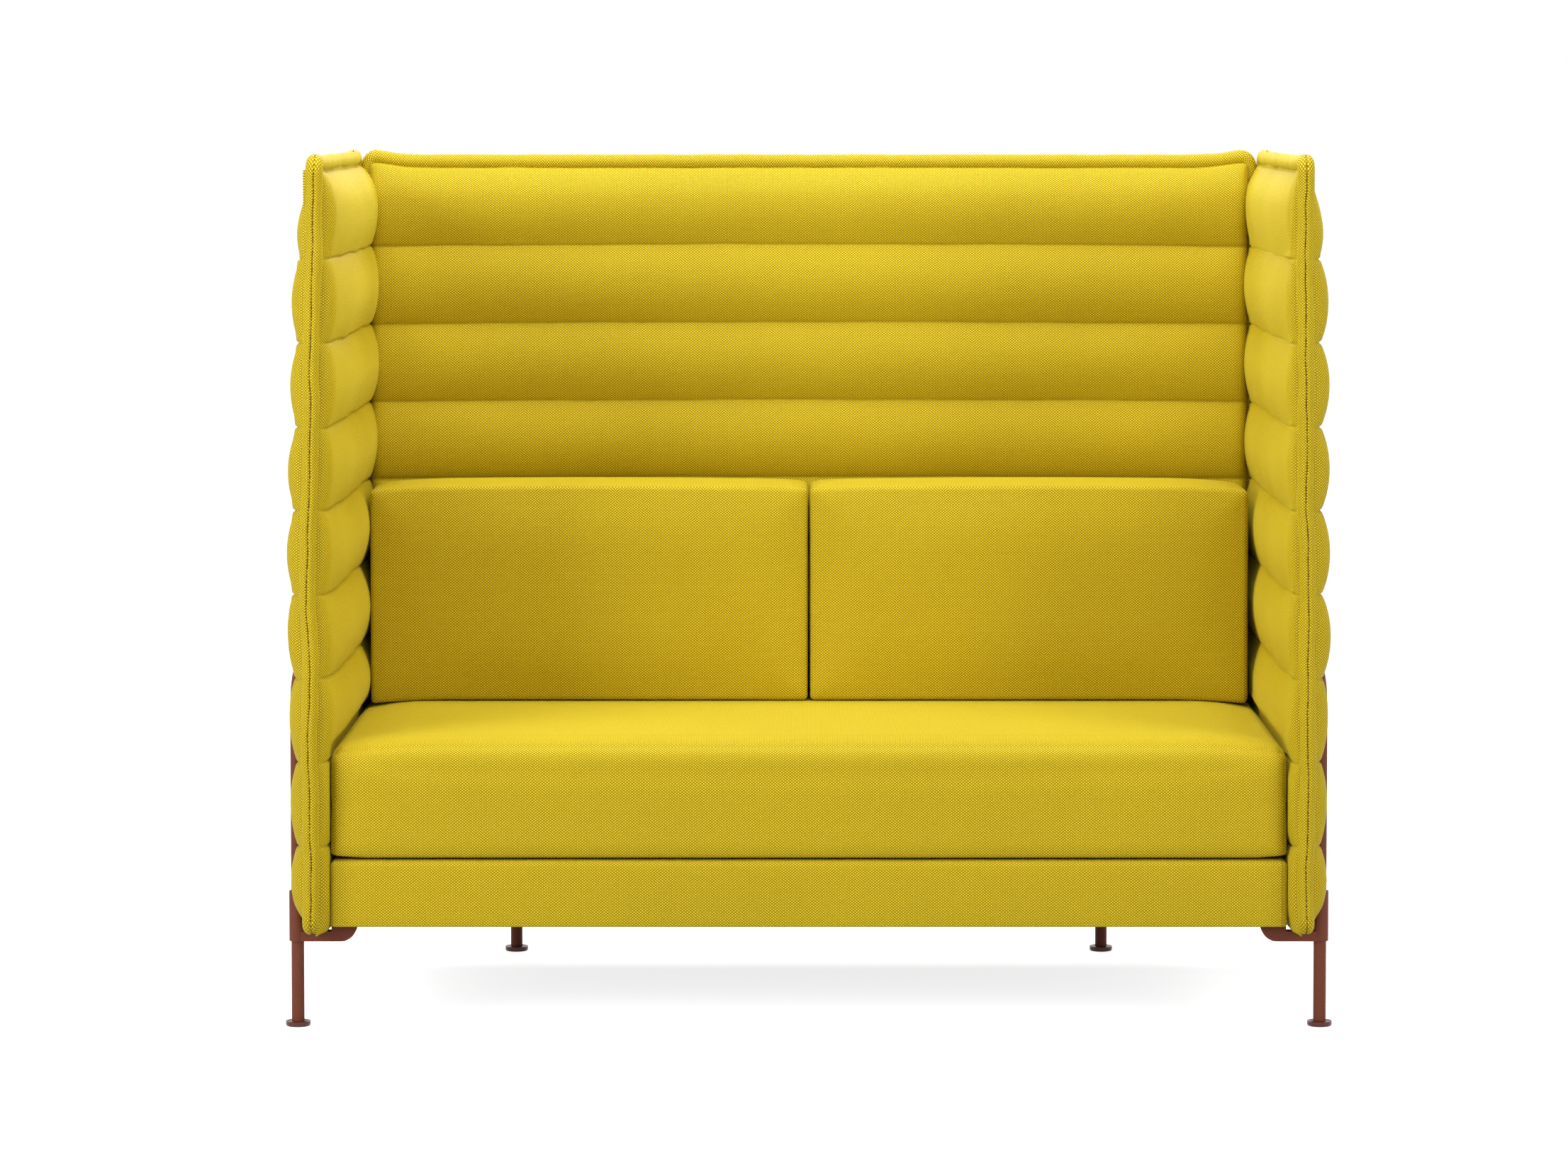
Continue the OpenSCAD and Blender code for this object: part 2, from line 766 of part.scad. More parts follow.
// w by d by t, standing on z = 0, with its front at -y
module cushion(w, d, t, corner, low_edge, edge, nose, crown) {
    hw = w / 2;
    hd = d / 2;
    shoulder = t - crown;
    reach = hd - nose;
    // Each ring is its height, its inset at the back and sides, and its inset at the front
    low_rings = [for (a = [0:low_step:90])
        let (up = low_edge * (1 - cos(a)), inset = edge_inset(low_edge, up)) [up, inset, inset]];
    high_rings = [for (a = [90:-high_step:0]) let (down = nose * (1 - cos(a)))
        [shoulder - down, edge_inset(edge, down), edge_inset(nose, down)]];
    crown_rings = [for (share = crown_shares)
        [shoulder + crown * (1 - pow(1 - share, crown_power)), edge + share * reach, nose + share * reach]];
    rings = concat(low_rings, high_rings, crown_rings);
    points = [for (g = rings) let (r = max(corner - g[1], low_edge / 2))
        for (p = ring_2d(g[1] - hw, hw - g[1], g[2] - hd, hd - g[1], r))
            let (q = drawn(p, hw, hd)) [q[0], q[1], g[0]]];
    n = len(points) / len(rings);
    sides = [for (i = [0:len(rings) - 2], j = [0:n - 1])
        let (a = i * n + j, b = i * n + (j + 1) % n)
        each [[a, b + n, b], [a, a + n, b + n]]];
    bottom = [[for (j = [0:n - 1]) j]];
    top = [[for (j = [n - 1:-1:0]) (len(rings) - 1) * n + j]];
    polyhedron(points = points, faces = concat(bottom, sides, top));
}

module seat_cushion() {
    depth = base_y - base_front;
    color("#e6cf2e") translate([0, (base_y + base_front) / 2, seat_low])
        cushion(2 * base_x, depth, seat_t, seat_corner, cushion_low_edge, seat_edge, seat_nose, seat_crown);
}

module back_cushion(side) {
    color("#e6cf2e")
        translate([side * (cushion_x - cushion_w / 2), cushion_rear, cushion_low + back_cushion_h / 2])
            rotate([90, 0, 0])
                cushion(cushion_w, back_cushion_h, back_cushion_t, back_cushion_corner, cushion_low_edge,
                    back_edge, back_edge, back_crown);
}

side_hoop(-1);  // side_hoop_left
side_hoop(1);  // side_hoop_right
back_hoop();
bracket_colour() at_front(-1) bracket();  // bracket_front_left
bracket_colour() at_front(1) bracket();  // bracket_front_right
bracket_colour() at_side(-1) bracket();  // bracket_side_left
bracket_colour() at_side(1) bracket();  // bracket_side_right
bracket_colour() at_rear(-1) bracket();  // bracket_rear_left
bracket_colour() at_rear(1) bracket();  // bracket_rear_right
foot_inserts();
hoop_plugs();
at_front_foot(-1) foot();  // foot_front_left
at_front_foot(1) foot();  // foot_front_right
at_rear_foot(-1) foot();  // foot_rear_left
at_rear_foot(1) foot();  // foot_rear_right
base_front_rail();
base_rear_rail();
base_side_rails();
base_cross_rails();
seat_webbing();
base_front_pad();
base_side_pads();
base_rear_pad();
base_dust_cover();
side_board(-1);  // side_board_left
side_board(1);  // side_board_right
back_board();
side_inner_quilt(-1);  // side_inner_quilt_left
side_inner_quilt(1);  // side_inner_quilt_right
side_outer_quilt(-1);  // side_outer_quilt_left
side_outer_quilt(1);  // side_outer_quilt_right
back_inner_quilt();
back_outer_quilt();
side_hem(-1);  // side_hem_left
side_hem(1);  // side_hem_right
back_hem();
corner_zip(-1);  // corner_zip_left
corner_zip(1);  // corner_zip_right
zip_slider(-1);  // zip_slider_left
zip_slider(1);  // zip_slider_right
seat_cushion();
back_cushion(-1);  // back_cushion_left
back_cushion(1);  // back_cushion_right
panel_bolts();
bracket_screws();
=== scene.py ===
"""High-back two-seat sofa: its upholstery, finishes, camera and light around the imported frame."""

import json
import math

import bmesh
import bpy
import numpy as np
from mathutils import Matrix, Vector


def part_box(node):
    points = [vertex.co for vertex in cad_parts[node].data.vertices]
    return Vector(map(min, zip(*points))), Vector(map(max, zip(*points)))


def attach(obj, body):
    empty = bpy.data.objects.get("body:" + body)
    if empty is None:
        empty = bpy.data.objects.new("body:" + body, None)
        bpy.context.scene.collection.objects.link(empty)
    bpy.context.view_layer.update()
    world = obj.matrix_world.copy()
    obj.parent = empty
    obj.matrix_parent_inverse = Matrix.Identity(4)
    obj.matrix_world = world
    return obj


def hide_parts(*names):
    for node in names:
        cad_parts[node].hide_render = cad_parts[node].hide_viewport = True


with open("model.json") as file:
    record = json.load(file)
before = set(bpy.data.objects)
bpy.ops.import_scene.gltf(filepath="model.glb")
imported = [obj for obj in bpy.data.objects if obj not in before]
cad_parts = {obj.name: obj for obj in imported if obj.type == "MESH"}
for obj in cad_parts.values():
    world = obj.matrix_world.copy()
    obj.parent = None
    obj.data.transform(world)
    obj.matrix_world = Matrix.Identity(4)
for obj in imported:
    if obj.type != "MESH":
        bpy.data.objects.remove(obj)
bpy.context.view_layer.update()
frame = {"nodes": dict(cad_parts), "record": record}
MM = 0.001


# Sizes read from the frame

def node_box(name):
    """A frame node's lowest and highest corner."""
    low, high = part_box(name)
    return np.array(low), np.array(high)


side_low, side_high = node_box("side_hem_right")
back_low, back_high = node_box("back_hem")
base_low, base_high = node_box("base_rear_pad")
front_low, front_high = node_box("base_front_pad")
seat_low, seat_high = node_box("seat_cushion")
hoop_low, hoop_high = node_box("side_hoop_right")
rear_hoop_low, rear_hoop_high = node_box("back_hoop")
sleeve_high = node_box("bracket_front_right")[1]

# The hems: half their thickness, the panels' middle planes, and the middle line's lengths and bend
HEM_R = (side_high[0] - side_low[0]) / 2
SIDE_X = (side_high[0] + side_low[0]) / 2
BACK_Y = (back_high[1] + back_low[1]) / 2
MID_Z = (side_high[2] + side_low[2]) / 2
SIDE_MID_Y = (side_high[1] + side_low[1]) / 2
HEM_H = side_high[2] - side_low[2] - 2 * HEM_R
SIDE_HEM_L = side_high[1] - side_low[1] - 2 * HEM_R
BACK_HEM_L = back_high[0] - back_low[0] - 2 * HEM_R
HEM_BEND = 14 * MM
# The quilts lie inside the hems with a little room, on both faces of a board, and so does the seat
# between the panels
ROOM = 0.3 * MM
# Cloth that lies against another piece or hangs from it starts this far off
HAIR = 0.2 * MM
BESIDE_HEM = HEM_R + ROOM
QUILT_H = HEM_H - 2 * BESIDE_HEM
SIDE_QUILT_L = SIDE_HEM_L - 2 * BESIDE_HEM
BACK_QUILT_L = BACK_HEM_L - 2 * BESIDE_HEM
BOARD_FACE = 6 * MM
# A channel's crest over the panel's middle plane, outside and inside, and its fall to the seams
OUTER_CREST, INNER_CREST, FALL = 42 * MM, 47 * MM, 14 * MM
# How far from a quilt's top and bottom edge it has its full thickness
TOP_SWELL, SLOW_TOP, LOW_SWELL = 55 * MM, 130 * MM, 33 * MM
# The seams' heights from the panel's middle: the lowest and the top channel have heights of their own
CHANNELS = 9
LOW_CHANNEL, TOP_CHANNEL = 0.096 * QUILT_H, 0.117 * QUILT_H
MID_CHANNEL = (QUILT_H - LOW_CHANNEL - TOP_CHANNEL) / (CHANNELS - 2)
SEAMS = [0.0] + [LOW_CHANNEL + i * MID_CHANNEL for i in range(CHANNELS - 1)] + [QUILT_H]
SEAMS = np.array(SEAMS) - QUILT_H / 2
# The quilts' edges lap a little way up the rolled hem's sides
LAP, LAP_FACE = 8 * MM, 9 * MM
# The hoops' tube and the bracket's sleeve round it, and, from the panel's middle, how far out and how
# high the side hoop's centre line runs, and where the sleeve ends
TUBE_R = 10 * MM
SLEEVE_R = 13.2 * MM
HOOP_OUT = hoop_high[0] - TUBE_R - SIDE_X
HOOP_BEND = 60 * MM
HOOP_TOP = hoop_high[2] - TUBE_R - MID_Z
SLEEVE_TOP = sleeve_high[2] - MID_Z
# The inner quilts are pressed flat down to this level over the panel's middle plane by the seat
SEAT_PRESS = SIDE_X - base_high[0]
SEAT_TOP = seat_high[2]


# Materials

def linear(code):
    """An sRGB hex colour as the linear values that Blender takes."""
    parts = [int(code[i:i + 2], 16) / 255 for i in (1, 3, 5)]
    return [p / 12.92 if p <= 0.04045 else ((p + 0.055) / 1.055) ** 2.4 for p in parts] + [1.0]


def add(tree, kind, inputs=None, **settings):
    """Adds a node with its settings; an input is a value or another node's socket."""
    made = tree.nodes.new(kind)
    for name, value in settings.items():
        setattr(made, name, value)
    for name, value in (inputs or {}).items():
        if isinstance(value, bpy.types.NodeSocket):
            tree.links.new(value, made.inputs[name])
        else:
            made.inputs[name].default_value = value
    return made


def finish_of(name, **values):
    """A new material with its node tree, its shader and that shader's constant values."""
    made = bpy.data.materials.new(name)
    made.use_nodes = True
    tree = made.node_tree
    shader = tree.nodes["Principled BSDF"]
    for socket, value in values.items():
        shader.inputs[socket.replace("_", " ")].default_value = value
    return made, tree, shader


def surface(tree, shader, share, low, high, height, strength, depth):
    """Colours a shader between two tones by a share, and gives it a relief of a depth in metres, where
    its strength isn't 0."""
    colour = add(tree, "ShaderNodeMix", {0: share, 6: low, 7: high}, data_type="RGBA")
    tree.links.new(colour.outputs[2], shader.inputs["Base Color"])
    if strength:
        bump = add(tree, "ShaderNodeBump", {"Strength": strength, "Distance": depth, "Height": height})
        tree.links.new(bump.outputs[0], shader.inputs["Normal"])


def hopsack():
    """Two-tone hopsack wool: bright raised yarn dots in staggered rows over a darker ground.
    The yarn stands up from the ground, so the cloth pales where it is seen from the side."""
    made, tree, shader = finish_of("two_tone_hopsack_wool", Roughness=0.6, Sheen_Weight=0.42,
                                   Sheen_Roughness=0.3, Sheen_Tint=linear("#fff35c"),
                                   Specular_IOR_Level=0.14)
    dot_pitch, row_pitch = 5.2 * MM, 2.15 * MM
    wander_size, wander_by, ply_size, dye_size = 18.2 * MM, 0.8 * MM, 2.38 * MM, 333 * MM
    cloth = add(tree, "ShaderNodeAttribute", attribute_name="weave").outputs["Vector"]
    # The yarns don't run quite straight
    wander = add(tree, "ShaderNodeTexNoise", {"Vector": cloth, "Scale": 1 / wander_size, "Detail": 1.0})
    shift = add(tree, "ShaderNodeVectorMath", {0: wander.outputs["Color"], 1: (wander_by,) * 3},
                operation="MULTIPLY")
    place = add(tree, "ShaderNodeVectorMath", {0: cloth, 1: shift.outputs[0]}, operation="ADD")
    apart = add(tree, "ShaderNodeSeparateXYZ", {0: place.outputs[0]})
    along = add(tree, "ShaderNodeMath", {0: apart.outputs[0], 1: 2 * math.pi / dot_pitch},
                operation="MULTIPLY")
    across = add(tree, "ShaderNodeMath", {0: apart.outputs[1], 1: math.pi / row_pitch},
                 operation="MULTIPLY")
    dots = add(tree, "ShaderNodeMath", {0: along.outputs[0]}, operation="COSINE")
    rows = add(tree, "ShaderNodeMath", {0: across.outputs[0]}, operation="COSINE")
    lattice = add(tree, "ShaderNodeMath", {0: dots.outputs[0], 1: rows.outputs[0]}, operation="MULTIPLY")
    dot = add(tree, "ShaderNodeMapRange", {0: lattice.outputs[0], 1: -0.4, 2: 0.95},
              interpolation_type="SMOOTHSTEP")
    # The crown is the top of each dot, where a paler tone is painted on as a highlight
    crown = add(tree, "ShaderNodeMapRange", {0: lattice.outputs[0], 1: 0.25, 2: 1.0},
                interpolation_type="SMOOTHSTEP")
    # Each dot is a short float of several plies, so its brightness varies a little
    plies = add(tree, "ShaderNodeTexNoise", {"Vector": cloth, "Scale": 1 / ply_size, "Detail": 2.0})
    plies_shade = add(tree, "ShaderNodeMapRange", {0: plies.outputs[0], 1: 0.3, 2: 0.7, 3: 0.93, 4: 1.05})
    # The dot's sides have the yarn's own yellow; the paler tone at its crown is a painted highlight
    raised = add(tree, "ShaderNodeMix", {0: crown.outputs[0], 6: linear("#d9bc10"), 7: linear("#faea46")},
                 data_type="RGBA")
    # The dye took a little unevenly over each piece
    dyed = add(tree, "ShaderNodeTexNoise", {"Vector": cloth, "Scale": 1 / dye_size, "Detail": 3.0})
    dyed_shade = add(tree, "ShaderNodeMapRange", {0: dyed.outputs[0], 1: 0.3, 2: 0.7, 3: 0.96, 4: 1.03})
    shade = add(tree, "ShaderNodeMath", {0: plies_shade.outputs[0], 1: dyed_shade.outputs[0]},
                operation="MULTIPLY")
    raised = add(tree, "ShaderNodeVectorMath", {0: raised.outputs[2], "Scale": shade.outputs[0]},
                 operation="SCALE")
    ground = add(tree, "ShaderNodeVectorMath", {0: linear("#967c02")[:3], "Scale": shade.outputs[0]},
                 operation="SCALE")
    height = add(tree, "ShaderNodeMath", {0: plies.outputs[0], 1: 0.25, 2: dot.outputs[0]},
                 operation="MULTIPLY_ADD")
    surface(tree, shader, dot.outputs[0], ground.outputs[0], raised.outputs[0], height.outputs[0], 0.6,
            0.7 * MM)
    return made


def toned(name, low, high, size, bump=0.0, depth=0.1 * MM, **values):
    """A finish of two close tones in a grain, with that grain's relief."""
    made, tree, shader = finish_of(name, **values)
    space = add(tree, "ShaderNodeTexCoord")
    noise = add(tree, "ShaderNodeTexNoise",
                {"Vector": space.outputs["Object"], "Scale": 1 / size, "Detail": 3.0}).outputs[0]
    share = add(tree, "ShaderNodeMapRange", {0: noise, 1: 0.35, 2: 0.65})
    surface(tree, shader, share.outputs[0], linear(low), linear(high), noise, bump, depth)
    return made


def sawn_wood(name, low, high, ring, along):
    """Planed wood: growth rings a few millimetres apart, drawn out along the grain."""
    fibre_size = 1.11 * MM
    made, tree, shader = finish_of(name, Roughness=0.55, Specular_IOR_Level=0.4)
    space = add(tree, "ShaderNodeTexCoord")
    drawn = add(tree, "ShaderNodeVectorMath", {0: space.outputs["Object"], 1: along}, operation="MULTIPLY")
    rings = add(tree, "ShaderNodeTexWave", {"Vector": drawn.outputs[0], "Scale": 1 / (2 * math.pi * ring),
                                            "Distortion": 6.0, "Detail": 3.0, "Detail Scale": 1.5})
    fibres = add(tree, "ShaderNodeTexNoise",
                 {"Vector": drawn.outputs[0], "Scale": 1 / fibre_size, "Detail": 4.0}).outputs[0]
    share = add(tree, "ShaderNodeMath", {0: rings.outputs[1], 1: fibres}, operation="MULTIPLY")
    surface(tree, shader, share.outputs[0], linear(low), linear(high), fibres, 0.25, 0.2 * MM)
    return made


def ribbed(name, low, high, rib, depth, **values):
    """A woven or coiled band: ribs a real distance apart across the band."""
    made, tree, shader = finish_of(name, **values)
    weave = add(tree, "ShaderNodeAttribute", attribute_name="weave")
    apart = add(tree, "ShaderNodeSeparateXYZ", {0: weave.outputs["Vector"]})
    turns = add(tree, "ShaderNodeMath", {0: apart.outputs[0], 1: 2 * math.pi / rib}, operation="MULTIPLY")
    wave = add(tree, "ShaderNodeMath", {0: turns.outputs[0]}, operation="SINE")
    share = add(tree, "ShaderNodeMapRange", {0: wave.outputs[0], 1: -1.0, 2: 1.0})
    surface(tree, shader, share.outputs[0], linear(low), linear(high), share.outputs[0], 0.7, depth)
    return made


FABRIC = hopsack()
# Polyester thread in the hems' closing seam, sunk between the two yarn tones
# Its dark olive is partly the thread's own colour and partly painted shade for the seam's groove
THREAD = toned("olive_polyester_thread", "#4b390f", "#66501a", 0.6 * MM, Roughness=0.9,
               Specular_IOR_Level=0.1)
# Powder coat over steel tube: a fine orange peel, matt
COAT = toned("red_brown_powder_coat", "#62301f", "#6b3826", 1.6 * MM, bump=0.12, depth=0.08 * MM,
             Roughness=0.55, Specular_IOR_Level=0.2)
# Wet lacquer on the turned steel feet: smooth and glossy, with a clear coat
LACQUER = toned("red_brown_wet_lacquer", "#4e2017", "#57261c", 4 * MM, Roughness=0.3, Coat_Weight=0.25,
                Coat_Roughness=0.08, Specular_IOR_Level=0.2)
# Zinc plate on screws, bolts and inserts: a dull crystalline metal
ZINC = toned("bright_zinc_plate", "#b9bcbb", "#d2d4d3", 1.2 * MM, bump=0.1, depth=0.03 * MM, Metallic=1.0,
             Roughness=0.36)
# Injection-moulded polypropylene plugs: fine spark-eroded texture
PLUG = toned("black_moulded_polypropylene", "#141414", "#1d1d1d", 0.8 * MM, bump=0.2, depth=0.05 * MM,
             Roughness=0.5)
# Planed beech rails and birch plywood boards, matt and unfinished
BEECH = sawn_wood("planed_beech", "#b98c5c", "#d9b284", 3 * MM, (0.12, 1, 1))
PLY = sawn_wood("birch_plywood", "#c9a574", "#e2c79b", 9 * MM, (0.1, 1, 1))
# Polyester and rubber webbing, woven with ribs across it
WEBBING = ribbed("woven_elastic_webbing", "#161616", "#2f2d2a", 2.2 * MM, 0.4 * MM, Roughness=0.8)
# Spun polypropylene dust cloth: thermal dimples in a charcoal felt
DUST = toned("spunbonded_dust_cloth", "#1d1d1e", "#2b2b2c", 2.5 * MM, bump=0.5, depth=0.3 * MM,
             Roughness=0.95)
# Polyester tape, woven with fine ribs
TAPE = ribbed("woven_zip_tape", "#2b2618", "#3d3722", 1.2 * MM, 0.15 * MM, Roughness=0.85)
# Nylon zip coil: smooth moulded filament
COIL = toned("olive_nylon_coil", "#4a4226", "#5a5130", 2 * MM, Roughness=0.4)
# Cast zinc slider with nickel plate
NICKEL = toned("nickel_plated_zinc", "#c4c0b6", "#d3cfc4", 3 * MM, Metallic=1.0, Roughness=0.25)

SLOTS = {"yellow_fabric": FABRIC, "frame_coating": COAT, "foot_coating": LACQUER, "zinc_steel": ZINC,
         "black_plastic": PLUG, "beech": BEECH, "birch_ply": PLY, "webbing": WEBBING, "dust_cloth": DUST,
         "zip_nylon": TAPE, "zip_metal": NICKEL}
for part in frame["record"]["subparts"]:
    mesh = frame["nodes"][part["node"]].data
    mesh.materials.clear()
    mesh.materials.append(SLOTS[part["material_slot"]])


# Meshes

def piece(name, points, faces, material, weave=None, smooth=True):
    """A mesh object; weave holds each point's place on the flat cloth, in metres."""
    mesh = bpy.data.meshes.new(name)
    mesh.from_pydata(np.asarray(points).tolist(), [], faces)
    mesh.materials.append(material)
    if weave is not None:
        held = mesh.attributes.new("weave", "FLOAT_VECTOR", "POINT")
        flat = np.zeros((len(points), 3), np.float32)
        flat[:, :2] = weave
        held.data.foreach_set("vector", flat.ravel())
    mesh.validate()
    mesh.polygons.foreach_set("use_smooth", [smooth] * len(mesh.polygons))
    made = bpy.data.objects.new(name, mesh)
    bpy.context.scene.collection.objects.link(made)
    return made


def points_of(obj):
    """A mesh object's points as an array."""
    flat = np.empty(len(obj.data.vertices) * 3, np.float32)
    obj.data.vertices.foreach_get("co", flat)
    return flat.reshape(-1, 3).astype(float)


def set_points(obj, points):
    """Moves a mesh object's points."""
    obj.data.vertices.foreach_set("co", np.asarray(points, np.float32).ravel())
    obj.data.update()


def outward(obj):
    """Turns every face of a closed mesh outwards."""
    work = bmesh.new()
    work.from_mesh(obj.data)
    bmesh.ops.recalc_face_normals(work, faces=work.faces)
    work.to_mesh(obj.data)
    work.free()
    obj.data.update()


def grid_faces(rows, columns, start=0, wrap=False):
    """Quads over a grid of rows by columns; wrap joins the last column to the first."""
    faces = []
    for i in range(rows - 1):
        for j in range(columns if wrap else columns - 1):
            k = (j + 1) % columns
            a, b = start + i * columns, start + (i + 1) * columns
            faces.append((a + j, a + k, b + k, b + j))
    return faces


def loop_faces(rows, columns):
    """Quads over a grid that closes on itself both ways, like a hem round its panel."""
    last = (rows - 1) * columns
    closing_row = [(last + j, last + (j + 1) % columns, (j + 1) % columns, j) for j in range(columns)]
    return grid_faces(rows, columns, wrap=True) + closing_row


def soft_noise(x, y, size, seed):
    """Smooth repeatable waves of about that size, between -1 and 1."""
    turn = np.random.default_rng(seed).uniform(0, 2 * math.pi, 6)
    k = 2 * math.pi / size
    total = np.sin(k * (x + 0.31 * y) + turn[0]) + np.sin(k * (0.73 * y - 0.42 * x) + turn[1])
    total = total + 0.6 * np.sin(1.9 * k * (0.8 * x + 0.5 * y) + turn[2])
    total = total + 0.6 * np.sin(1.7 * k * (0.9 * y - 0.6 * x) + turn[3])
    return total / 3.2


# The padded pieces that wait for the simulation with the longest way that a point may move, what is
# done to each piece after it, and how many frames it runs
swelling = []
closing = []
FRAMES = 16


def inflate_later(obj, pressure, cap, pinned):
    """Gives a cloth piece pressure, holds its pinned points and remembers it for the simulation."""
    group = obj.vertex_groups.new(name="sewn")
    group.add([int(i) for i in np.nonzero(pinned)[0]], 1.0, "REPLACE")
    cloth = obj.modifiers.new("cloth", "CLOTH")
    held = cloth.settings
    held.quality = 4
    held.mass = 0.4
    held.tension_stiffness = 15
    held.compression_stiffness = 15
    held.shear_stiffness = 5
    held.bending_stiffness = 0.5
    held.use_pressure = True
    held.uniform_pressure_force = pressure
    held.effector_weights.gravity = 0
    held.vertex_group_mass = "sewn"
    cloth.point_cache.frame_start = 1
    cloth.point_cache.frame_end = FRAMES
    swelling.append((obj, cap))


def inflate_all():
    """Runs the cloth of every padded piece together, then applies it, with each point's move capped."""
    if not swelling:
        return
    scene = bpy.context.scene
    for number in range(1, FRAMES + 1):
        scene.frame_set(number)
    graph = bpy.context.evaluated_depsgraph_get()
    swelled = [points_of(obj.evaluated_get(graph)) for obj, _ in swelling]
    for (obj, cap), moved in zip(swelling, swelled):
        rest = points_of(obj)
        step = moved - rest
        length = np.linalg.norm(step, axis=1, keepdims=True)
        obj.modifiers.remove(obj.modifiers["cloth"])
        set_points(obj, rest + step * np.minimum(1, cap / np.maximum(length, 1e-9)))
    scene.frame_set(1)


# Quilted panels

# A quilt's surface: its crests wave a little, its top channel is lower, and its seams are sunk in a
# narrow groove
CREST_WAVE, TOP_LOWER = 1 * MM, 3 * MM
GROOVE, GROOVE_HALF = 3.2 * MM, 2.2 * MM
# Where a tube lies in a quilt: the room round it and round the bracket's sleeve, how far beside it
# the cloth comes up again and how far over the crest it aims, and the rounding there
TUBE_ROOM, SLEEVE_ROOM = 0.4 * MM, 2 * MM
TUBE_FADE, TUBE_OVER, TUBE_BLEND = 9 * MM, 6 * MM, 2 * MM
# Where the seat lies against a quilt: how far under the seat's top the cloth starts to come free,
# over what height, how far over the crest it aims, the room left to the seat, and the rounding there
FREE_FROM, FREE_OVER, SEAT_OVER = 12 * MM, 48 * MM, 8 * MM
SEAT_ROOM, SEAT_BLEND = 0.4 * MM, 1.2 * MM
# The pressure in a quilt, the longest way that a simulated point may move, and how far over the
# crest the cloth may end; cloth that is pressed in further than this doesn't swell
PRESSURE, SWELL_CAP, SWELL_LEVEL, PRESSED_IN = 2.2, 3.5 * MM, 2.5 * MM, 1 * MM
# Where a quilt's cover ends behind, at the board, and the least cloth over a leaning panel's board
BEHIND = BOARD_FACE + HAIR
BOARD_COVER = 1.5 * MM
# How far past the quilt's ends and top that cover reaches
PAST_END, PAST_TOP = 2 * MM, 1 * MM
# How far the raised corners of a panel's top edge reach, and how far from a quilt's top and bottom
# its seams' wander fades out
TOP_CORNER, FADE = 45 * MM, 60 * MM


def lines_between(low, high, step):
    """Even places from low up to high, without high itself."""
    return list(np.linspace(low, high, max(2, int(round((high - low) / step)) + 1))[:-1])


def hoop_distance(a, b, first, last):
    """Distance in the panel's plane from a hoop's centre line, with uprights at a = first and last."""
    bend_z = HOOP_TOP - HOOP_BEND
    above = np.maximum(b - bend_z, 0)
    under = np.minimum(np.hypot(a - first, above), np.hypot(a - last, above))
    over = np.hypot(b - HOOP_TOP, np.maximum(np.maximum(first + HOOP_BEND - a, a - last + HOOP_BEND), 0))
    near = np.minimum(under, over)
    for centre, sign in ((first + HOOP_BEND, -1), (last - HOOP_BEND, 1)):
        turned = (sign * (a - centre) >= 0) & (b >= bend_z)
        near = np.where(turned, np.abs(np.hypot(a - centre, b - bend_z) - HOOP_BEND), near)
    return near


def soft_min(p, q, blend):
    """The lower of two surfaces, rounded where they meet."""
    return (p + q) / 2 - np.sqrt(((p - q) / 2) ** 2 + blend ** 2) + blend * np.exp(-np.abs(p - q) / blend)


def top_sag(a, length, depth):
    """How far a panel's top edge hangs below its two raised corners."""
    from_corner = length / 2 - np.abs(a)
    return depth * (1 - np.exp(-(np.maximum(from_corner, 0) / TOP_CORNER) ** 2))


# The steps of a quilt's grid: at its very ends, in its round ends, on a tube, in its bend, elsewhere
TIP_STEP, END_STEP, TUBE_STEP, BEND_STEP, OPEN_STEP = 2.5 * MM, 6 * MM, 3 * MM, 5 * MM, 11 * MM
TIP, BESIDE_TUBE, LEAST_STEP = 10 * MM, 24 * MM, 0.5 * MM


def quilt_lines(length, hoop, ends):
    """Where a quilt's grid has its columns, closer together at its ends and beside a hoop's uprights."""
    first, last = -length / 2 - LAP, length / 2 + LAP
    # Each mark is a place and the step from there on
    marks = [(first, TIP_STEP), (first + TIP, END_STEP), (first + ends[0][1], OPEN_STEP),
             (last - ends[1][1], END_STEP), (last - TIP, TIP_STEP), (last, TIP_STEP)]
    if hoop:
        bend = BESIDE_TUBE + HOOP_BEND
        marks += [(hoop[0] - BESIDE_TUBE, TUBE_STEP), (hoop[0] + BESIDE_TUBE, BEND_STEP),
                  (hoop[0] + bend, OPEN_STEP), (hoop[1] - bend, BEND_STEP),
                  (hoop[1] - BESIDE_TUBE, TUBE_STEP), (hoop[1] + BESIDE_TUBE, OPEN_STEP)]
    marks.sort()
    lines = []
    for (low, step), (high, _) in zip(marks, marks[1:]):
        if high - low > LEAST_STEP:
            lines += lines_between(low, high, step)
    return np.array(lines + [last])


# Distances from a seam at which a quilt's grid has rows, for the simulation and for the final mesh,
# and how far from a channel's middle the last one stays
COARSE_ROWS = np.array([0, 4, 9, 17, 28, 40, 52]) * MM
FINE_ROWS = np.array([0, 1.1, 2.4, 4.2, 7, 11, 17, 25, 34, 44, 54]) * MM
MIDDLE_ROOM = 3 * MM


def channel_lines(near):
    """Where a quilt's grid has its rows, at these distances from each seam."""
    rows = []
    for low, high in zip(SEAMS, SEAMS[1:]):
        half = near[near < (high - low) / 2 - MIDDLE_ROOM]
        rows += list(low + half) + [(low + high) / 2] + list(high - half[:0:-1])
    lowest, highest = SEAMS[0], SEAMS[-1]
    return np.array([lowest - LAP, lowest - LAP / 2] + rows + [highest, highest + LAP / 2, highest + LAP])


# How a quilt fills out from its end: the share that its round edge gives, over what length, and
# the length over which the rest follows
BLUNT = (1.0, 16 * MM, 16 * MM)
QUICK = (0.86, 36 * MM, 90 * MM)
SLOW = (0.6, 32 * MM, 230 * MM)


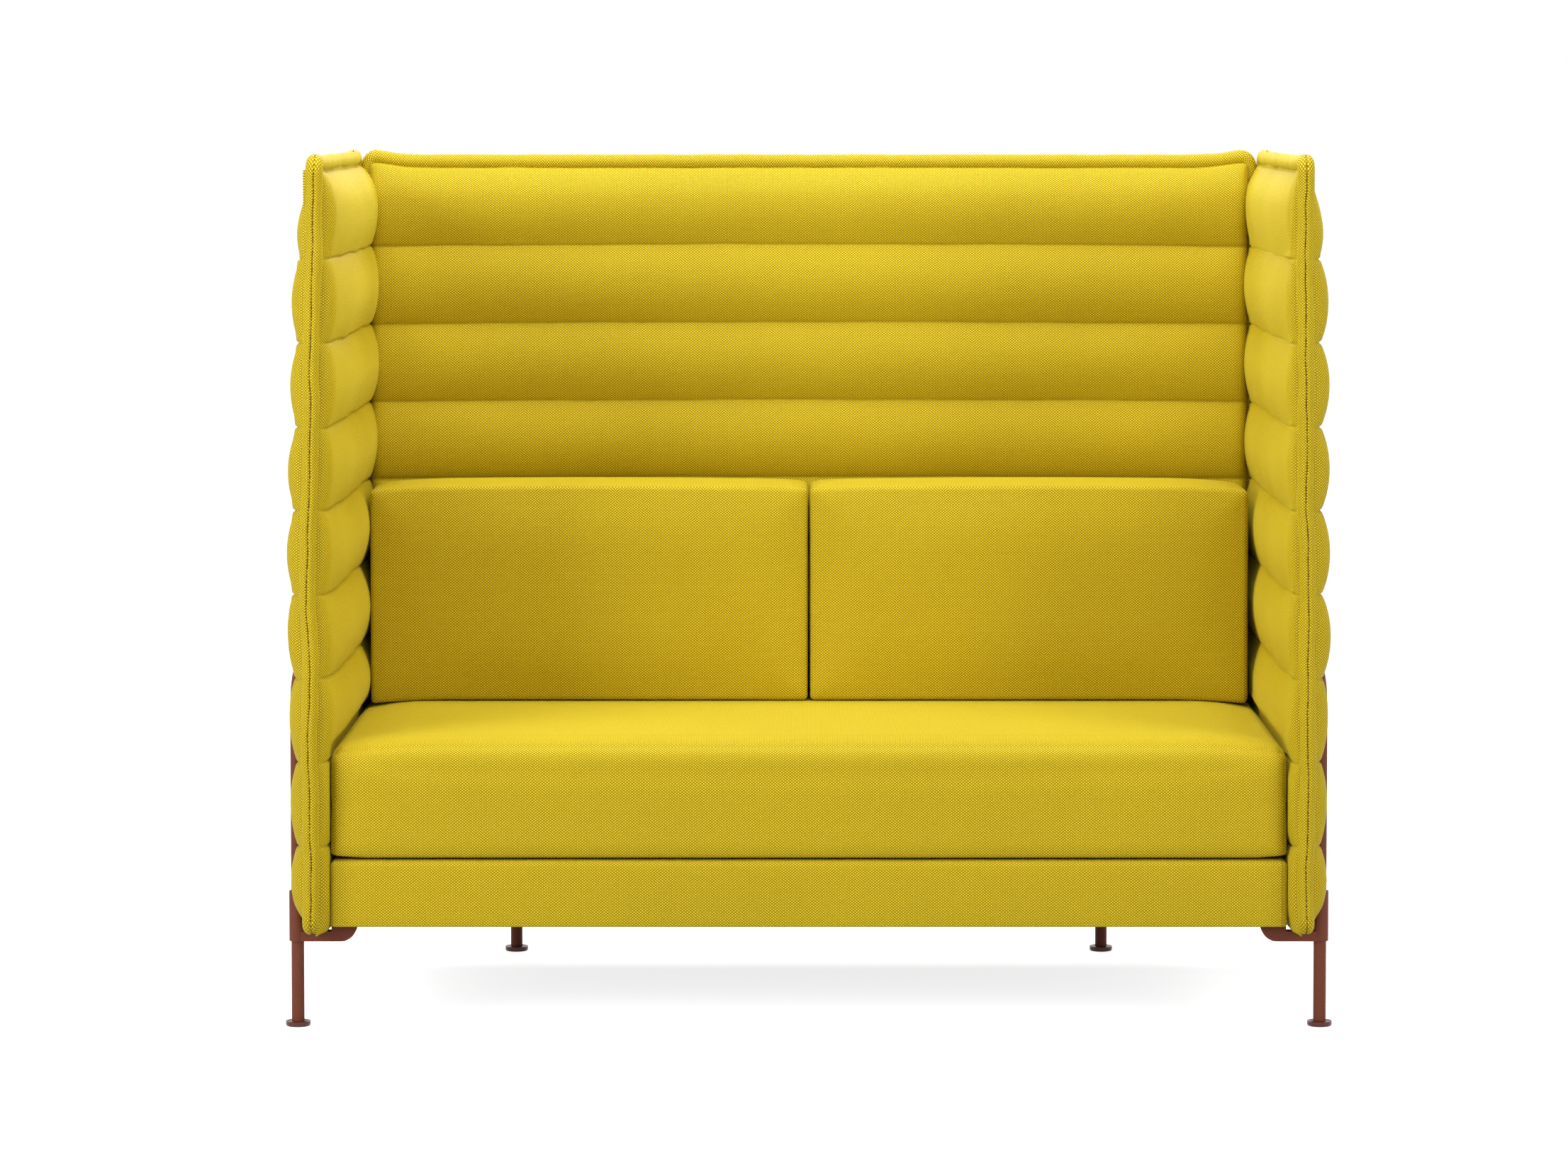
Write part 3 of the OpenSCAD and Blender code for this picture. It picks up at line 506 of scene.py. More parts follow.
def full_at(t, fill):
    """Share of a quilt's full thickness at a distance t from its end."""
    share, edge, rest = fill
    rounded = np.sqrt(1 - (1 - np.clip(t / edge, 0, 1)) ** 2)
    return share * rounded + (1 - share) * np.sin(math.pi / 2 * np.clip(t / rest, 0, 1))


def quilt(name, node, place, length, crest, seed, sag, hoop=None, seat=False, ends=(QUICK, QUICK),
          low_swell=LOW_SWELL, bow=0.0, top_lap=4 * MM, slow_top=False, drop=0.0, stray=1.2 * MM, over=None,
          tight=0.0):
    """A quilted face: rows of sewn channels blown up by cloth simulation between their seams, and
    pressed in where a hoop or the seat lies against them.
    place turns (along, up, out) into metres. sag is how far the top edge hangs between its corners,
    bow how far the seams rise in the middle, stray how far they wander, and drop how far the lowest
    channel is drawn down. top_lap is how far the cloth goes up past the quilt's top, and slow_top
    lets the top channel fill out slowly. tight is what the channels below the hoop's bend lose in
    height, and over gives the least level that covers the board."""
    columns = quilt_lines(length, hoop, ends)

    def shape(a, b):
        """The cut shape's level over the panel's middle plane."""
        index = np.clip(np.searchsorted(SEAMS, b, side="right") - 1, 0, CHANNELS - 1)
        low, high = SEAMS[index], SEAMS[index + 1]
        u = np.clip(np.abs(2 * (b - low) / (high - low) - 1), 0, 1)
        face = crest - np.where(b > SEAMS[-2], TOP_LOWER, 0) * (1 - u ** 4) - FALL * u ** 2.1
        face = face + CREST_WAVE * soft_noise(a, b, 310 * MM, seed) * (1 - u ** 4)
        from_seam = np.min(np.abs(b[..., None] - SEAMS[None, None, 1:-1]), axis=-1)
        face = face - GROOVE * np.exp(-(from_seam / GROOVE_HALF) ** 2)
        end_a = np.minimum(full_at(a + length / 2 + LAP, ends[0]), full_at(length / 2 + LAP - a, ends[1]))
        from_top = np.maximum(QUILT_H / 2 + top_lap - b, 0)
        if slow_top:
            top = np.sin(math.pi / 2 * np.minimum(from_top / SLOW_TOP, 1)) ** 1.1
        else:
            top = np.sqrt(1 - (1 - np.minimum(from_top / TOP_SWELL, 1)) ** 2)
        foot = np.sqrt(1 - (1 - np.clip((b + QUILT_H / 2 + LAP) / low_swell, 0, 1)) ** 2)
        return LAP_FACE + (face - LAP_FACE) * end_a * np.where(b < 0, foot, top)

    def pressed(level, a, b):
        """A level with the hoop and the seat pressed into it."""
        if hoop:
            below = np.clip((HOOP_TOP - b) / HOOP_BEND, 0, 1)
            level = level - tight * below * np.clip((level - LAP_FACE) / (crest - LAP_FACE), 0, 1)
            off = hoop_distance(a, b, *hoop)
            bore = np.where(b < SLEEVE_TOP + SLEEVE_ROOM, SLEEVE_R, TUBE_R) + TUBE_ROOM
            rise = 1 - np.exp(-np.maximum(off - bore, 0) / TUBE_FADE)
            beside_tube = soft_min(level, HOOP_OUT + (crest + TUBE_OVER - HOOP_OUT) * rise, TUBE_BLEND)
            under_tube = HOOP_OUT - np.sqrt(np.maximum(bore ** 2 - off ** 2, 0))
            level = np.minimum(level, np.where(off < bore, under_tube, beside_tube))
        if seat:
            free = np.clip((b + MID_Z - SEAT_TOP + FREE_FROM) / FREE_OVER, 0, 1)
            held = SEAT_PRESS - SEAT_ROOM + (crest + SEAT_OVER - SEAT_PRESS) * free ** 0.6
            level = np.minimum(level, soft_min(level, held, SEAT_BLEND))
        return level

    def lifted(a, b):
        """Seams wander a little and bow, and the top edge hangs between its corners."""
        inside = np.clip((QUILT_H / 2 - np.abs(b)) / FADE, 0, 1)
        wander = (stray * soft_noise(a, b, 230 * MM, seed + 1) + bow * (1 - (2 * a / length) ** 2)) * inside
        high = np.clip((b - SEAMS[-2]) / (SEAMS[-1] - SEAMS[-2]), 0, 1) ** 2
        foot = np.clip((SEAMS[1] - b) / (SEAMS[1] - SEAMS[0]), 0, 1) ** 2
        return b + wander - top_sag(a, length, sag) * high - drop * foot

    rows = channel_lines(COARSE_ROWS)
    a, b = np.meshgrid(columns, rows)
    out = shape(a, b)
    start = pressed(out, a, b)
    on_seam = np.min(np.abs(rows[:, None] - SEAMS[None, :]), axis=1) < HAIR
    past_edge = np.abs(rows) > QUILT_H / 2
    pinned = (on_seam | past_edge)[:, None] | (start < out - PRESSED_IN)
    pinned[:, [0, -1]] = True
    middle = np.array(place(*(np.zeros(1),) * 3)).ravel()
    out_way = np.array(place(np.zeros(1), np.zeros(1), np.ones(1))).ravel() - middle
    before = np.stack(place(a, b, start), -1).reshape(-1, 3)
    made = piece(name, before, grid_faces(*a.shape), FABRIC)
    inflate_later(made, PRESSURE, SWELL_CAP, pinned.ravel())

    def close():
        """Lays the swelling over a finer grid, limits it again, and adds the quilt's edge and its back."""
        swelled = ((points_of(made) - before) @ out_way).reshape(a.shape)
        fine = channel_lines(FINE_ROWS)
        more = np.stack([np.interp(fine, rows, swelled[:, j]) for j in range(len(columns))], 1)
        fa, fb = np.meshgrid(columns, fine)
        rest = shape(fa, fb)
        level = np.minimum(pressed(rest + more, fa, fb), crest + SWELL_LEVEL)
        if over:
            level = np.maximum(level, over(fa, fb))
        front = np.stack(place(fa, lifted(fa, fb), level), -1).reshape(-1, 3)
        n_rows, n_columns = fa.shape
        # The cloth's own lengths along and up the quilt, over its channels; each quilt's weave starts
        # at a place of its own
        steps_up = np.hypot(np.diff(fine)[:, None], np.diff(rest, axis=0))
        steps_along = np.hypot(np.diff(columns)[None, :], np.diff(rest, axis=1))
        up = np.concatenate([[0], np.cumsum(steps_up[:, n_columns // 2])])
        along = np.concatenate([[0], np.cumsum(steps_along, axis=1).mean(0)])
        offset = 13 * MM * seed - along[n_columns // 2]
        weave = np.stack(np.meshgrid(along + offset, up), -1).reshape(-1, 2)
        faces = grid_faces(n_rows, n_columns)
        # One face in the middle shows which way they all look
        one = front[list(faces[n_rows // 2 * (n_columns - 1) + n_columns // 2])]
        if np.cross(one[1] - one[0], one[2] - one[1]) @ out_way < 0:
            faces = [f[::-1] for f in faces]
        ring = ([(0, j) for j in range(n_columns)] + [(i, n_columns - 1) for i in range(1, n_rows)]
                + [(n_rows - 1, j) for j in range(n_columns - 2, -1, -1)]
                + [(i, 0) for i in range(n_rows - 2, 0, -1)])
        edge = [i * n_columns + j for i, j in ring]
        rim = front[edge] - np.outer(level.ravel()[edge] - BEHIND, out_way)
        total, count = len(front), len(edge)
        sides = [(edge[k], edge[(k + 1) % count], total + (k + 1) % count, total + k) for k in range(count)]
        back = tuple(range(total, total + count))
        done = piece(name + "_cover", np.vstack([front, rim]), faces + sides + [back], FABRIC,
                     np.vstack([weave, weave[edge] + [0, BOARD_FACE]]))
        bpy.data.objects.remove(made)
        done.name = name
        outward(done)
        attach(done, "root")
        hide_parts(node)

    closing.append(close)


# Heights up a side panel's front edge in metres, and how far it leans in there in millimetres, by side
LEAN_Z = (0.15, 0.56, 0.66, 0.82, 0.98, 1.14, 1.26, 1.36)
LEAN = {-1: (0, 0, -3.5, -1, 4.5, 7.5, 10, 12), 1: (0, 0, 1.5, 3.5, 5, 7, 8.5, 9)}
# The share of that lean at the zipped rear edge
REAR_LEAN = 0.6


def lean(side, y, z):
    """How far a side panel leans out of its plane; its zipped rear edge leans less, and only inwards."""
    forward = np.clip((BACK_Y - y) / (BACK_Y - side_low[1]), 0, 1)
    inward = np.interp(z, LEAN_Z, LEAN[side]) * MM
    return -side * (inward * forward + REAR_LEAN * np.maximum(inward, 0) * (1 - forward))


def beside(side, face):
    """Places a side panel's (along, up, out) in the room; face is 1 outside and -1 inside."""
    def place(a, b, c):
        y, z = SIDE_MID_Y + a, MID_Z + b
        return side * (SIDE_X + face * c) + lean(side, y, z), y, z
    return place


def over_board(side):
    """The least level at which an outer quilt covers the panel's upright board, where the panel leans in."""
    def least(a, b):
        on_board = (np.abs(a) < SIDE_QUILT_L / 2 + PAST_END) & (b < QUILT_H / 2 + PAST_TOP)
        leaned = side * lean(side, SIDE_MID_Y + a, MID_Z + b)
        return np.where(on_board, BOARD_FACE + BOARD_COVER - leaned, -np.inf)
    return least


def behind(face):
    """Places the back panel's (along, up, out) in the room; face is 1 outside and -1 inside."""
    def place(a, b, c):
        return a, BACK_Y + face * c, MID_Z + b
    return place


side_hoop = (hoop_low[1] + TUBE_R - SIDE_MID_Y, hoop_high[1] - TUBE_R - SIDE_MID_Y)
rear_hoop = (rear_hoop_low[0] + TUBE_R, rear_hoop_high[0] - TUBE_R)
SIDES = ((-1, "left"), (1, "right"))
SIDE_SAG, BACK_SAG = 3 * MM, 8 * MM
# The right side panel's inner channels stand a little lower than the left one's
LESS_INSIDE = {-1: 0, 1: 5 * MM}
for side, word in SIDES:
    quilt(f"side_panel_inside_{word}", f"side_inner_quilt_{word}", beside(side, -1), SIDE_QUILT_L,
          INNER_CREST - LESS_INSIDE[side], 11 + side, SIDE_SAG, seat=True, ends=(SLOW, BLUNT),
          low_swell=10 * MM, top_lap=-1 * MM, drop=20 * MM, stray=2.4 * MM)
    quilt(f"side_panel_outside_{word}", f"side_outer_quilt_{word}", beside(side, 1), SIDE_QUILT_L,
          OUTER_CREST, 21 + side, 0, hoop=side_hoop, top_lap=-1 * MM, slow_top=True,
          over=over_board(side), tight=4.5 * MM)
quilt("back_panel_inside", "back_inner_quilt", behind(-1), BACK_QUILT_L, INNER_CREST, 31, BACK_SAG,
      seat=True, ends=(BLUNT, BLUNT), bow=3.5 * MM)
quilt("back_panel_outside", "back_outer_quilt", behind(1), BACK_QUILT_L, OUTER_CREST, 41, BACK_SAG,
      hoop=rear_hoop)


# Rolled hems

# A hem's sections lie this far apart, six of them in a bend, with this many points round each
HEM_STEP, BEND_PARTS, HEM_POINTS = 7 * MM, 6, 30
# How far below and beside a top corner a hem's sag and its drawn corner fade out, and the drawn way of
# the back hem's corners, which leaves the small gap beside the side hems
HEM_FADE, CORNER_FADE, BACK_DRAWN = 60 * MM, 90 * MM, 6 * MM
# How far the hem wanders off the panel's plane, in long and in short waves, and how far the closing
# seam turns round the hem, in radians
WANDER_LONG, WANDER_SHORT = 2.2 * MM, 1 * MM
TURN_LONG, TURN_SHORT = 0.24, 0.09
# The groove of that seam in the roll, its half width in radians, and the small lips beside it
HEM_GROOVE, HEM_GROOVE_HALF = 2.4 * MM, 0.15
HEM_LIP, LIP_TURN, LIP_HALF = 0.5 * MM, 0.42, 0.25
# The roll's thickness: a share of the CAD's, more of it near the corners, how uneven it is, and how
# far past the CAD's it may be
HEM_SHARE, EAR_SHARE, EAR_REACH, HEM_UNEVEN, HEM_OVER = 0.985, 0.05, 30 * MM, 0.035, 0.4 * MM
# The turns of the points round a section, in radians, which crowd at the seam up to here
CROWD, CROWD_END = np.array([0.09, 0.19, 0.32]), 0.5


def hem_path(length, height):
    """Points round a hem's middle line with their outward directions, from the middle of its foot."""
    half_l, half_h, r = length / 2 - HEM_BEND, height / 2 - HEM_BEND, HEM_BEND
    points, ways = [], []

    def run(start, end, way):
        count = max(2, int(math.dist(start, end) / HEM_STEP))
        for share in np.arange(count) / count:
            points.append(np.add(start, np.subtract(end, start) * share))
            ways.append(way)

    def bend(centre, start):
        for k in range(BEND_PARTS):
            turn = math.radians(start + 90 * k / BEND_PARTS)
            way = (math.cos(turn), math.sin(turn))
            points.append(np.add(centre, np.multiply(way, r)))
            ways.append(way)

    run((0, -half_h - r), (half_l, -half_h - r), (0, -1))
    bend((half_l, -half_h), -90)
    run((half_l + r, -half_h), (half_l + r, half_h), (1, 0))
    bend((half_l, half_h), 0)
    run((half_l, half_h + r), (-half_l, half_h + r), (0, 1))
    bend((-half_l, half_h), 90)
    run((-half_l - r, half_h), (-half_l - r, -half_h), (-1, 0))
    bend((-half_l, -half_h), 180)
    run((-half_l, -half_h - r), (0, -half_h - r), (0, -1))
    return np.array(points), np.array(ways)


def hem(name, node, place, length, seed, sag, drawn=0.0):
    """A rolled hem: cloth round a soft cord, closed by a sunk seam that wanders along its outer edge.
    sag is how far its top hangs between the corners, and drawn how far those corners are pulled in."""
    middle, ways = hem_path(length, HEM_H)
    a, b = middle[:, 0], middle[:, 1]
    on_top = np.clip((b - HEM_H / 2 + HEM_FADE) / HEM_FADE, 0, 1)
    at_side = np.clip((np.abs(a) - length / 2 + CORNER_FADE) / CORNER_FADE, 0, 1)
    to_corner = (length / 2 - np.abs(a)) ** 2 + (HEM_H / 2 - b) ** 2
    b = b - top_sag(a, length, sag) * on_top ** 2
    a = a - np.sign(a) * drawn * (at_side * on_top) ** 2
    along = np.concatenate([[0], np.cumsum(np.hypot(np.diff(a), np.diff(b)))])
    aside = (WANDER_LONG * soft_noise(along, 0, 310 * MM, seed)
             + WANDER_SHORT * soft_noise(along, 0, 120 * MM, seed + 3))
    seam_turn = (TURN_LONG * soft_noise(along, 0, 290 * MM, seed + 5)
                 + TURN_SHORT * soft_noise(along, 0, 60 * MM, seed + 9))
    whole = 2 * math.pi
    open_way = np.linspace(CROWD_END, whole - CROWD_END, HEM_POINTS - 7)
    turn = np.concatenate([[0], CROWD, open_way, whole - CROWD[::-1]])
    twist = seam_turn[:, None] + turn[None, :]
    swell = 1 + HEM_UNEVEN * soft_noise(along[:, None], 20 * MM * np.sin(turn), 70 * MM, seed + 7)
    folded = np.minimum(turn, whole - turn)
    groove = HEM_GROOVE * np.exp(-(folded / HEM_GROOVE_HALF) ** 2)
    lip = HEM_LIP * np.exp(-((folded - LIP_TURN) / LIP_HALF) ** 2)
    ear = np.exp(-to_corner / EAR_REACH ** 2)
    radius = HEM_R * swell * (HEM_SHARE + EAR_SHARE * ear[:, None]) - (groove - lip)[None, :]
    radius = np.minimum(radius, HEM_R + HEM_OVER)
    out_a = a[:, None] + ways[:, :1] * np.cos(twist) * radius
    out_b = b[:, None] + ways[:, 1:] * np.cos(twist) * radius
    out_c = aside[:, None] + np.sin(twist) * radius
    grid = np.stack(place(out_a, out_b, out_c), -1)
    faces = loop_faces(*grid.shape[:2])
    round_way = np.where(turn > math.pi, turn - whole, turn) * HEM_R
    weave = np.stack(np.meshgrid(round_way, along), -1)
    made = piece(name, grid.reshape(-1, 3), faces, FABRIC, weave.reshape(-1, 2))
    outward(made)
    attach(made, "root")
    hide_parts(node)
    seam = (along, a, b, aside, ways[:, 0], ways[:, 1], seam_turn, radius[:, 0] + THREAD_RISE)
    stitches(name + "_stitches", place, seam, seed)


# The stitches: their pitch, half length, half width and height, how far they stand over the groove's
# floor, and the share of a stitch's half length at which its thread has its full thickness
STITCH_PITCH, STITCH_LONG, STITCH_W, STITCH_H = 4.2 * MM, 1.7 * MM, 1.25 * MM, 0.75 * MM
THREAD_RISE, STITCH_FULL = 0.4 * MM, 0.55
# The least and the greatest share of the pitch and of the length, and how far a stitch lies off the
# seam, in radians round the hem
UNEVEN_PITCH, UNEVEN_LENGTH, STITCH_OFF = (0.7, 1.35), (0.55, 1.25), 0.025


def stitches(name, place, seam, seed):
    """The closing seam's stitches, uneven in length, each a short spindle of thread in the groove.
    seam gives, at its sections, the length so far, the hem's middle line, its outward directions, the
    seam's turn and the thread's distance from the middle line."""
    uneven = np.random.default_rng(seed)
    length = seam[0][-1]
    at = np.cumsum(STITCH_PITCH * uneven.uniform(*UNEVEN_PITCH, int(length / STITCH_PITCH)))
    at = at[at < length - STITCH_PITCH]
    long = STITCH_LONG * uneven.uniform(*UNEVEN_LENGTH, (len(at), 1))
    a, b, aside, way_a, way_b, turn, level = (np.interp(at, seam[0], values) for values in seam[1:])
    turn = turn + STITCH_OFF * uneven.uniform(-1, 1, len(at))
    out, zero = level * np.cos(turn), 0 * at
    base = np.stack([a + way_a * out, b + way_b * out, aside + level * np.sin(turn)], -1)
    along = np.stack([-way_b, way_a, zero], -1)
    across = np.stack([zero, zero, zero + 1], -1)
    rise = np.stack([way_a, way_b, zero], -1)
    # A spindle has a point at each end and two rings of six points between them
    rings = [(x, math.cos(t), math.sin(t)) for x in (-STITCH_FULL, STITCH_FULL)
             for t in np.arange(6) * math.pi / 3]
    spindle = [(-1, 0, 0)] + rings + [(1, 0, 0)]
    points, faces = [], []
    for x, y, z in spindle:
        local = base + along * long * x + across * STITCH_W * y + rise * STITCH_H * z
        points.append(np.stack(place(*local.T), -1))
    for first in range(0, len(at) * len(spindle), len(spindle)):
        for j in range(6):
            one, next_one = first + 1 + j, first + 1 + (j + 1) % 6
            faces += [(first, one, next_one), (one, one + 6, next_one + 6, next_one),
                      (first + 13, next_one + 6, one + 6)]
    made = piece(name, np.stack(points, 1).reshape(-1, 3), faces, THREAD)
    outward(made)
    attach(made, "root")


for side, word in SIDES:
    hem(f"side_hem_roll_{word}", f"side_hem_{word}", beside(side, 1), SIDE_HEM_L, 51 + side, SIDE_SAG)
hem("back_hem_roll", "back_hem", behind(1), BACK_HEM_L, 61, BACK_SAG, BACK_DRAWN)


# Cushions and base cover

def block(size, cell, radius):
    """Points and quads of a box with rounded edges, centred on zero, its quads about cell wide."""
    size = np.asarray(size, float)
    counts = [max(3, int(round(v / cell))) for v in size]
    points, faces, total = [], [], 0
    for axis in range(3):
        j, k = (axis + 1) % 3, (axis + 2) % 3
        for end in (0, 1):
            gj, gk = np.meshgrid(np.arange(counts[j] + 1), np.arange(counts[k] + 1))
            place = np.zeros(gj.shape + (3,), int)
            place[..., axis], place[..., j], place[..., k] = end * counts[axis], gj, gk
            quads = np.array(grid_faces(*gj.shape, start=total))
            faces.append(quads if end else quads[:, ::-1])
            points.append(place.reshape(-1, 3))
            total += gj.size
    welded, back = np.unique(np.vstack(points), axis=0, return_inverse=True)
    faces = back.ravel()[np.vstack(faces)]
    p = welded / counts * size - size / 2
    inner = np.clip(p, radius - size / 2, size / 2 - radius)
    way = (p - inner) / np.linalg.norm(p - inner, axis=1, keepdims=True)
    return inner + way * radius, [tuple(f) for f in faces.tolist()]


def rounder(p, half, a, sign_a, b, sign_b, radius):
    """Rounds the edge between two faces of a block, given by axis and sign, to a larger radius."""
    da = radius - (half[a] - sign_a * p[:, a])
    db = radius - (half[b] - sign_b * p[:, b])
    inside = (da > 0) & (db > 0)
    scale = np.where(inside, np.maximum(da, db) / np.maximum(np.hypot(da, db), 1e-9), 1)
    p[:, a] = np.where(inside, sign_a * (half[a] - radius + da * scale), p[:, a])
    p[:, b] = np.where(inside, sign_b * (half[b] - radius + db * scale), p[:, b])


def cloth_places(obj, wrap_front):
    """Writes each corner's place on the flat cloth: over each face of the piece, with the top and the
    front in one run where the cover wraps over the front edge."""
    mesh = obj.data
    points = points_of(obj)
    held = mesh.attributes.new("weave", "FLOAT_VECTOR", "CORNER")
    values = np.zeros((len(mesh.loops), 3), np.float32)
    index = np.empty(len(mesh.loops), np.int32)
    mesh.loops.foreach_get("vertex_index", index)
    normals = np.empty(len(mesh.polygons) * 3, np.float32)
    mesh.polygons.foreach_get("normal", normals)
    normals = np.abs(normals.reshape(-1, 3))
    totals = np.empty(len(mesh.polygons), np.int32)
    mesh.polygons.foreach_get("loop_total", totals)
    upright = np.where(normals[:, 1] > normals[:, 2], 1, 2)
    facing = np.repeat(np.where(normals[:, 0] > 0.75, 0, upright), totals)[:, None]
    corners = points[index]
    if wrap_front:
        y, z = points[:, 1] - points[:, 1].min(), points[:, 2].max() - points[:, 2]
        turn = np.arctan2(np.maximum(wrap_front - z, 0), np.maximum(wrap_front - y, 0) + 1e-9)
        front = np.where(z > wrap_front, wrap_front - z, wrap_front * turn)
        over = np.where(y > wrap_front, y - wrap_front + wrap_front * math.pi / 2, front)
        flat = np.stack([corners[:, 0], over[index]], -1)
    else:
        flat = np.where(facing == 1, corners[:, [0, 2]], corners[:, [0, 1]])
    values[:, :2] = np.where(facing == 0, corners[:, 1:], flat)
    held.data.foreach_set("vector", values.ravel())


CUSHION_PRESSURE = 3.0


def cushion(name, node, points, faces, sewn, cap, wrap_front, settle):
    """A padded piece: its cut shape swollen by cloth simulation between its edges, then settled."""
    low, high = node_box(node)
    made = piece(name, points + (low + high) / 2, faces, FABRIC)
    inflate_later(made, CUSHION_PRESSURE, cap, sewn)

    def close():
        set_points(made, settle(points_of(made), low, high))
        cloth_places(made, wrap_front)
        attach(made, node)
        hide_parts(node)

    closing.append(close)


def share_within(distance, reach):
    """1 at a place, falling evenly to 0 at reach from it."""
    return np.clip(1 - distance / reach, 0, 1)


# The seat cushion: how far its top falls at both ends, over what length, and how far its lower front
# edge lifts off the base, with waves and more of it at the corners
SEAT_FALL, SEAT_FALL_OVER = 11 * MM, 150 * MM
FRONT_OVER, FRONT_LIFT, CORNER_LIFT, CORNER_OVER = 90 * MM, 1.3 * MM, 5 * MM, 80 * MM
# Its lower front seam hangs over as a lip, its front waves and may stand out past the CAD's, and its
# rear stays off the CAD's
SEAT_LIP, SEAT_LIP_HALF, FRONT_WAVE, FRONT_PAST = 1.2 * MM, 4 * MM, 0.8 * MM, 3.5 * MM
REAR_ROOM = 0.5 * MM


def settle_seat(p, low, high):
    """The seat cushion lies flat on the base and between the panels. Its top falls towards both ends,
    where nobody sits, and its lower front edge lifts a little off the base."""
    x, y, z = p.T
    rise = np.clip((z - low[2]) / (high[2] - low[2]), 0, 1)
    from_end, from_front = high[0] - np.abs(x), y - low[1]
    z = z - SEAT_FALL * share_within(from_end, SEAT_FALL_OVER) ** 1.8 * rise
    front = share_within(from_front, FRONT_OVER)
    lower = share_within(2.4 * rise, 1)
    lift = FRONT_LIFT * (1.2 + soft_noise(x, 0, 620 * MM, 72))
    lift = lift + CORNER_LIFT * share_within(from_end, CORNER_OVER) ** 1.5
    z = np.clip(z, low[2] + lift * front * lower, high[2] - HAIR)
    z = z - SEAT_LIP * np.exp(-(from_front / SEAT_LIP_HALF) ** 2) * lower ** 2
    y = y + FRONT_WAVE * soft_noise(x, z, 500 * MM, 71) * front
    past = FRONT_PAST * np.tanh(np.maximum(low[1] - y, 0) / FRONT_PAST)
    y = np.minimum(np.maximum(y, low[1]) - past, high[1] - REAR_ROOM)
    return np.stack([np.clip(x, low[0] + ROOM, high[0] - ROOM), y, z], -1)


# A back cushion: its fall at the outer end and at the middle of the sofa, each over a length
OUTER_FALL, OUTER_FALL_OVER = 6 * MM, 130 * MM
MIDDLE_FALL, MIDDLE_FALL_OVER = 1.5 * MM, 90 * MM
# The gap between the two: its least half width, its waves, and how far it opens at the foot
GAP, GAP_WAVE, GAP_FOOT = 0.5 * MM, 0.4 * MM, 1.2 * MM
# The outer end swells past the CAD's, by side, from this far off the sofa's middle outwards
END_PAST = {-1: 2 * MM, 1: 5 * MM}
END_SWELLS_FROM, END_SWELL = 600 * MM, 0.03


def settle_back(p, low, high):
    """A back cushion stands on the seat, follows its fall at the outer end and leans on the panel."""
    side = 1 if high[0] > -low[0] else -1
    x, y, z = side * p[:, 0], p[:, 1], p[:, 2]
    rise = np.clip((z - low[2]) / (high[2] - low[2]), 0, 1)
    end = max(-low[0], high[0])
    fall = OUTER_FALL * share_within(end - x, OUTER_FALL_OVER) ** 1.8
    fall = fall + MIDDLE_FALL * share_within(x, MIDDLE_FALL_OVER) ** 2 * rise
    z = np.maximum(z, low[2] - HAIR) - fall
    inner = GAP + GAP_WAVE * (1 + soft_noise(z, y, 200 * MM, 81)) + GAP_FOOT * (1 - rise) ** 2
    outer = end + END_PAST[side]
    x = x + END_SWELL * np.clip(x - END_SWELLS_FROM, 0, outer - END_SWELLS_FROM)
    return np.stack([side * np.clip(x, inner, outer), np.minimum(y, high[1]), z], -1)


def near_edges(p, half, margin):
    """Which points lie along a block's edges, where its panels are sewn together."""
    close = (half - np.abs(p)) < margin
    return close.sum(1) >= 2


# The seat cushion's edges: the round nose in front, the other top edges, and the upright ones in
# front; its cut is this much lower at the top's rim and further in at the front
NOSE, SEAT_TOP_EDGE, SEAT_UPRIGHT_EDGE, SEAT_CUT = 37 * MM, 20 * MM, 15 * MM, 2 * MM


def seat_pad():
    """The seat cushion, cut with a round front edge and sewn along its lower edges."""
    size = seat_high - seat_low
    half = size / 2
    points, faces = block(size, cell=9 * MM, radius=8 * MM)
    sewn = near_edges(points, half, margin=9 * MM) & (points[:, 2] < 0)
    for end in (-1, 1):
        rounder(points, half, 0, end, 2, 1, SEAT_TOP_EDGE)
    rounder(points, half, 1, -1, 2, 1, NOSE)
    rounder(points, half, 1, 1, 2, 1, SEAT_TOP_EDGE)
    for end in (-1, 1):
        rounder(points, half, 0, end, 1, -1, SEAT_UPRIGHT_EDGE)
    x, y, z = (points / half).T
    up = np.clip(z, 0, 1)
    crown = (1 - np.abs(x) ** 8) * up * (1 - np.abs(y - 0.1) ** 2.5 * 0.8)
    points[:, 2] -= SEAT_CUT * (1 - crown) * up
    points[:, 1] += SEAT_CUT * np.clip(-y, 0, 1) ** 4
    cushion("seat_pad", "seat_cushion", points, faces, sewn, cap=2 * MM, wrap_front=NOSE,
            settle=settle_seat)


# A back cushion's cut is this much flatter at the rim of its front, and lower at its top's ends
BACK_CUT, BACK_TOP_CUT = 9 * MM, 3 * MM


def back_pad(word):
    """A back cushion, sewn along all its edges, with a crowned front."""
    low, high = node_box(f"back_cushion_{word}")
    half = (high - low) / 2
    points, faces = block(high - low, cell=8 * MM, radius=9 * MM)
    sewn = near_edges(points, half, margin=7 * MM)
    x, y, z = (points / half).T
    crown = (1 - np.abs(x) ** 3) * (1 - np.abs(z) ** 3)
    points[:, 1] += BACK_CUT * (1 - crown) * np.clip(-y, 0, 1)
    points[:, 2] -= BACK_TOP_CUT * x ** 2 * np.clip(z, 0, 1)
    cushion(f"back_pad_{word}", f"back_cushion_{word}", points, faces, sewn, cap=5 * MM,
            wrap_front=0, settle=settle_back)


seat_pad()
for _, word in SIDES:
    back_pad(word)


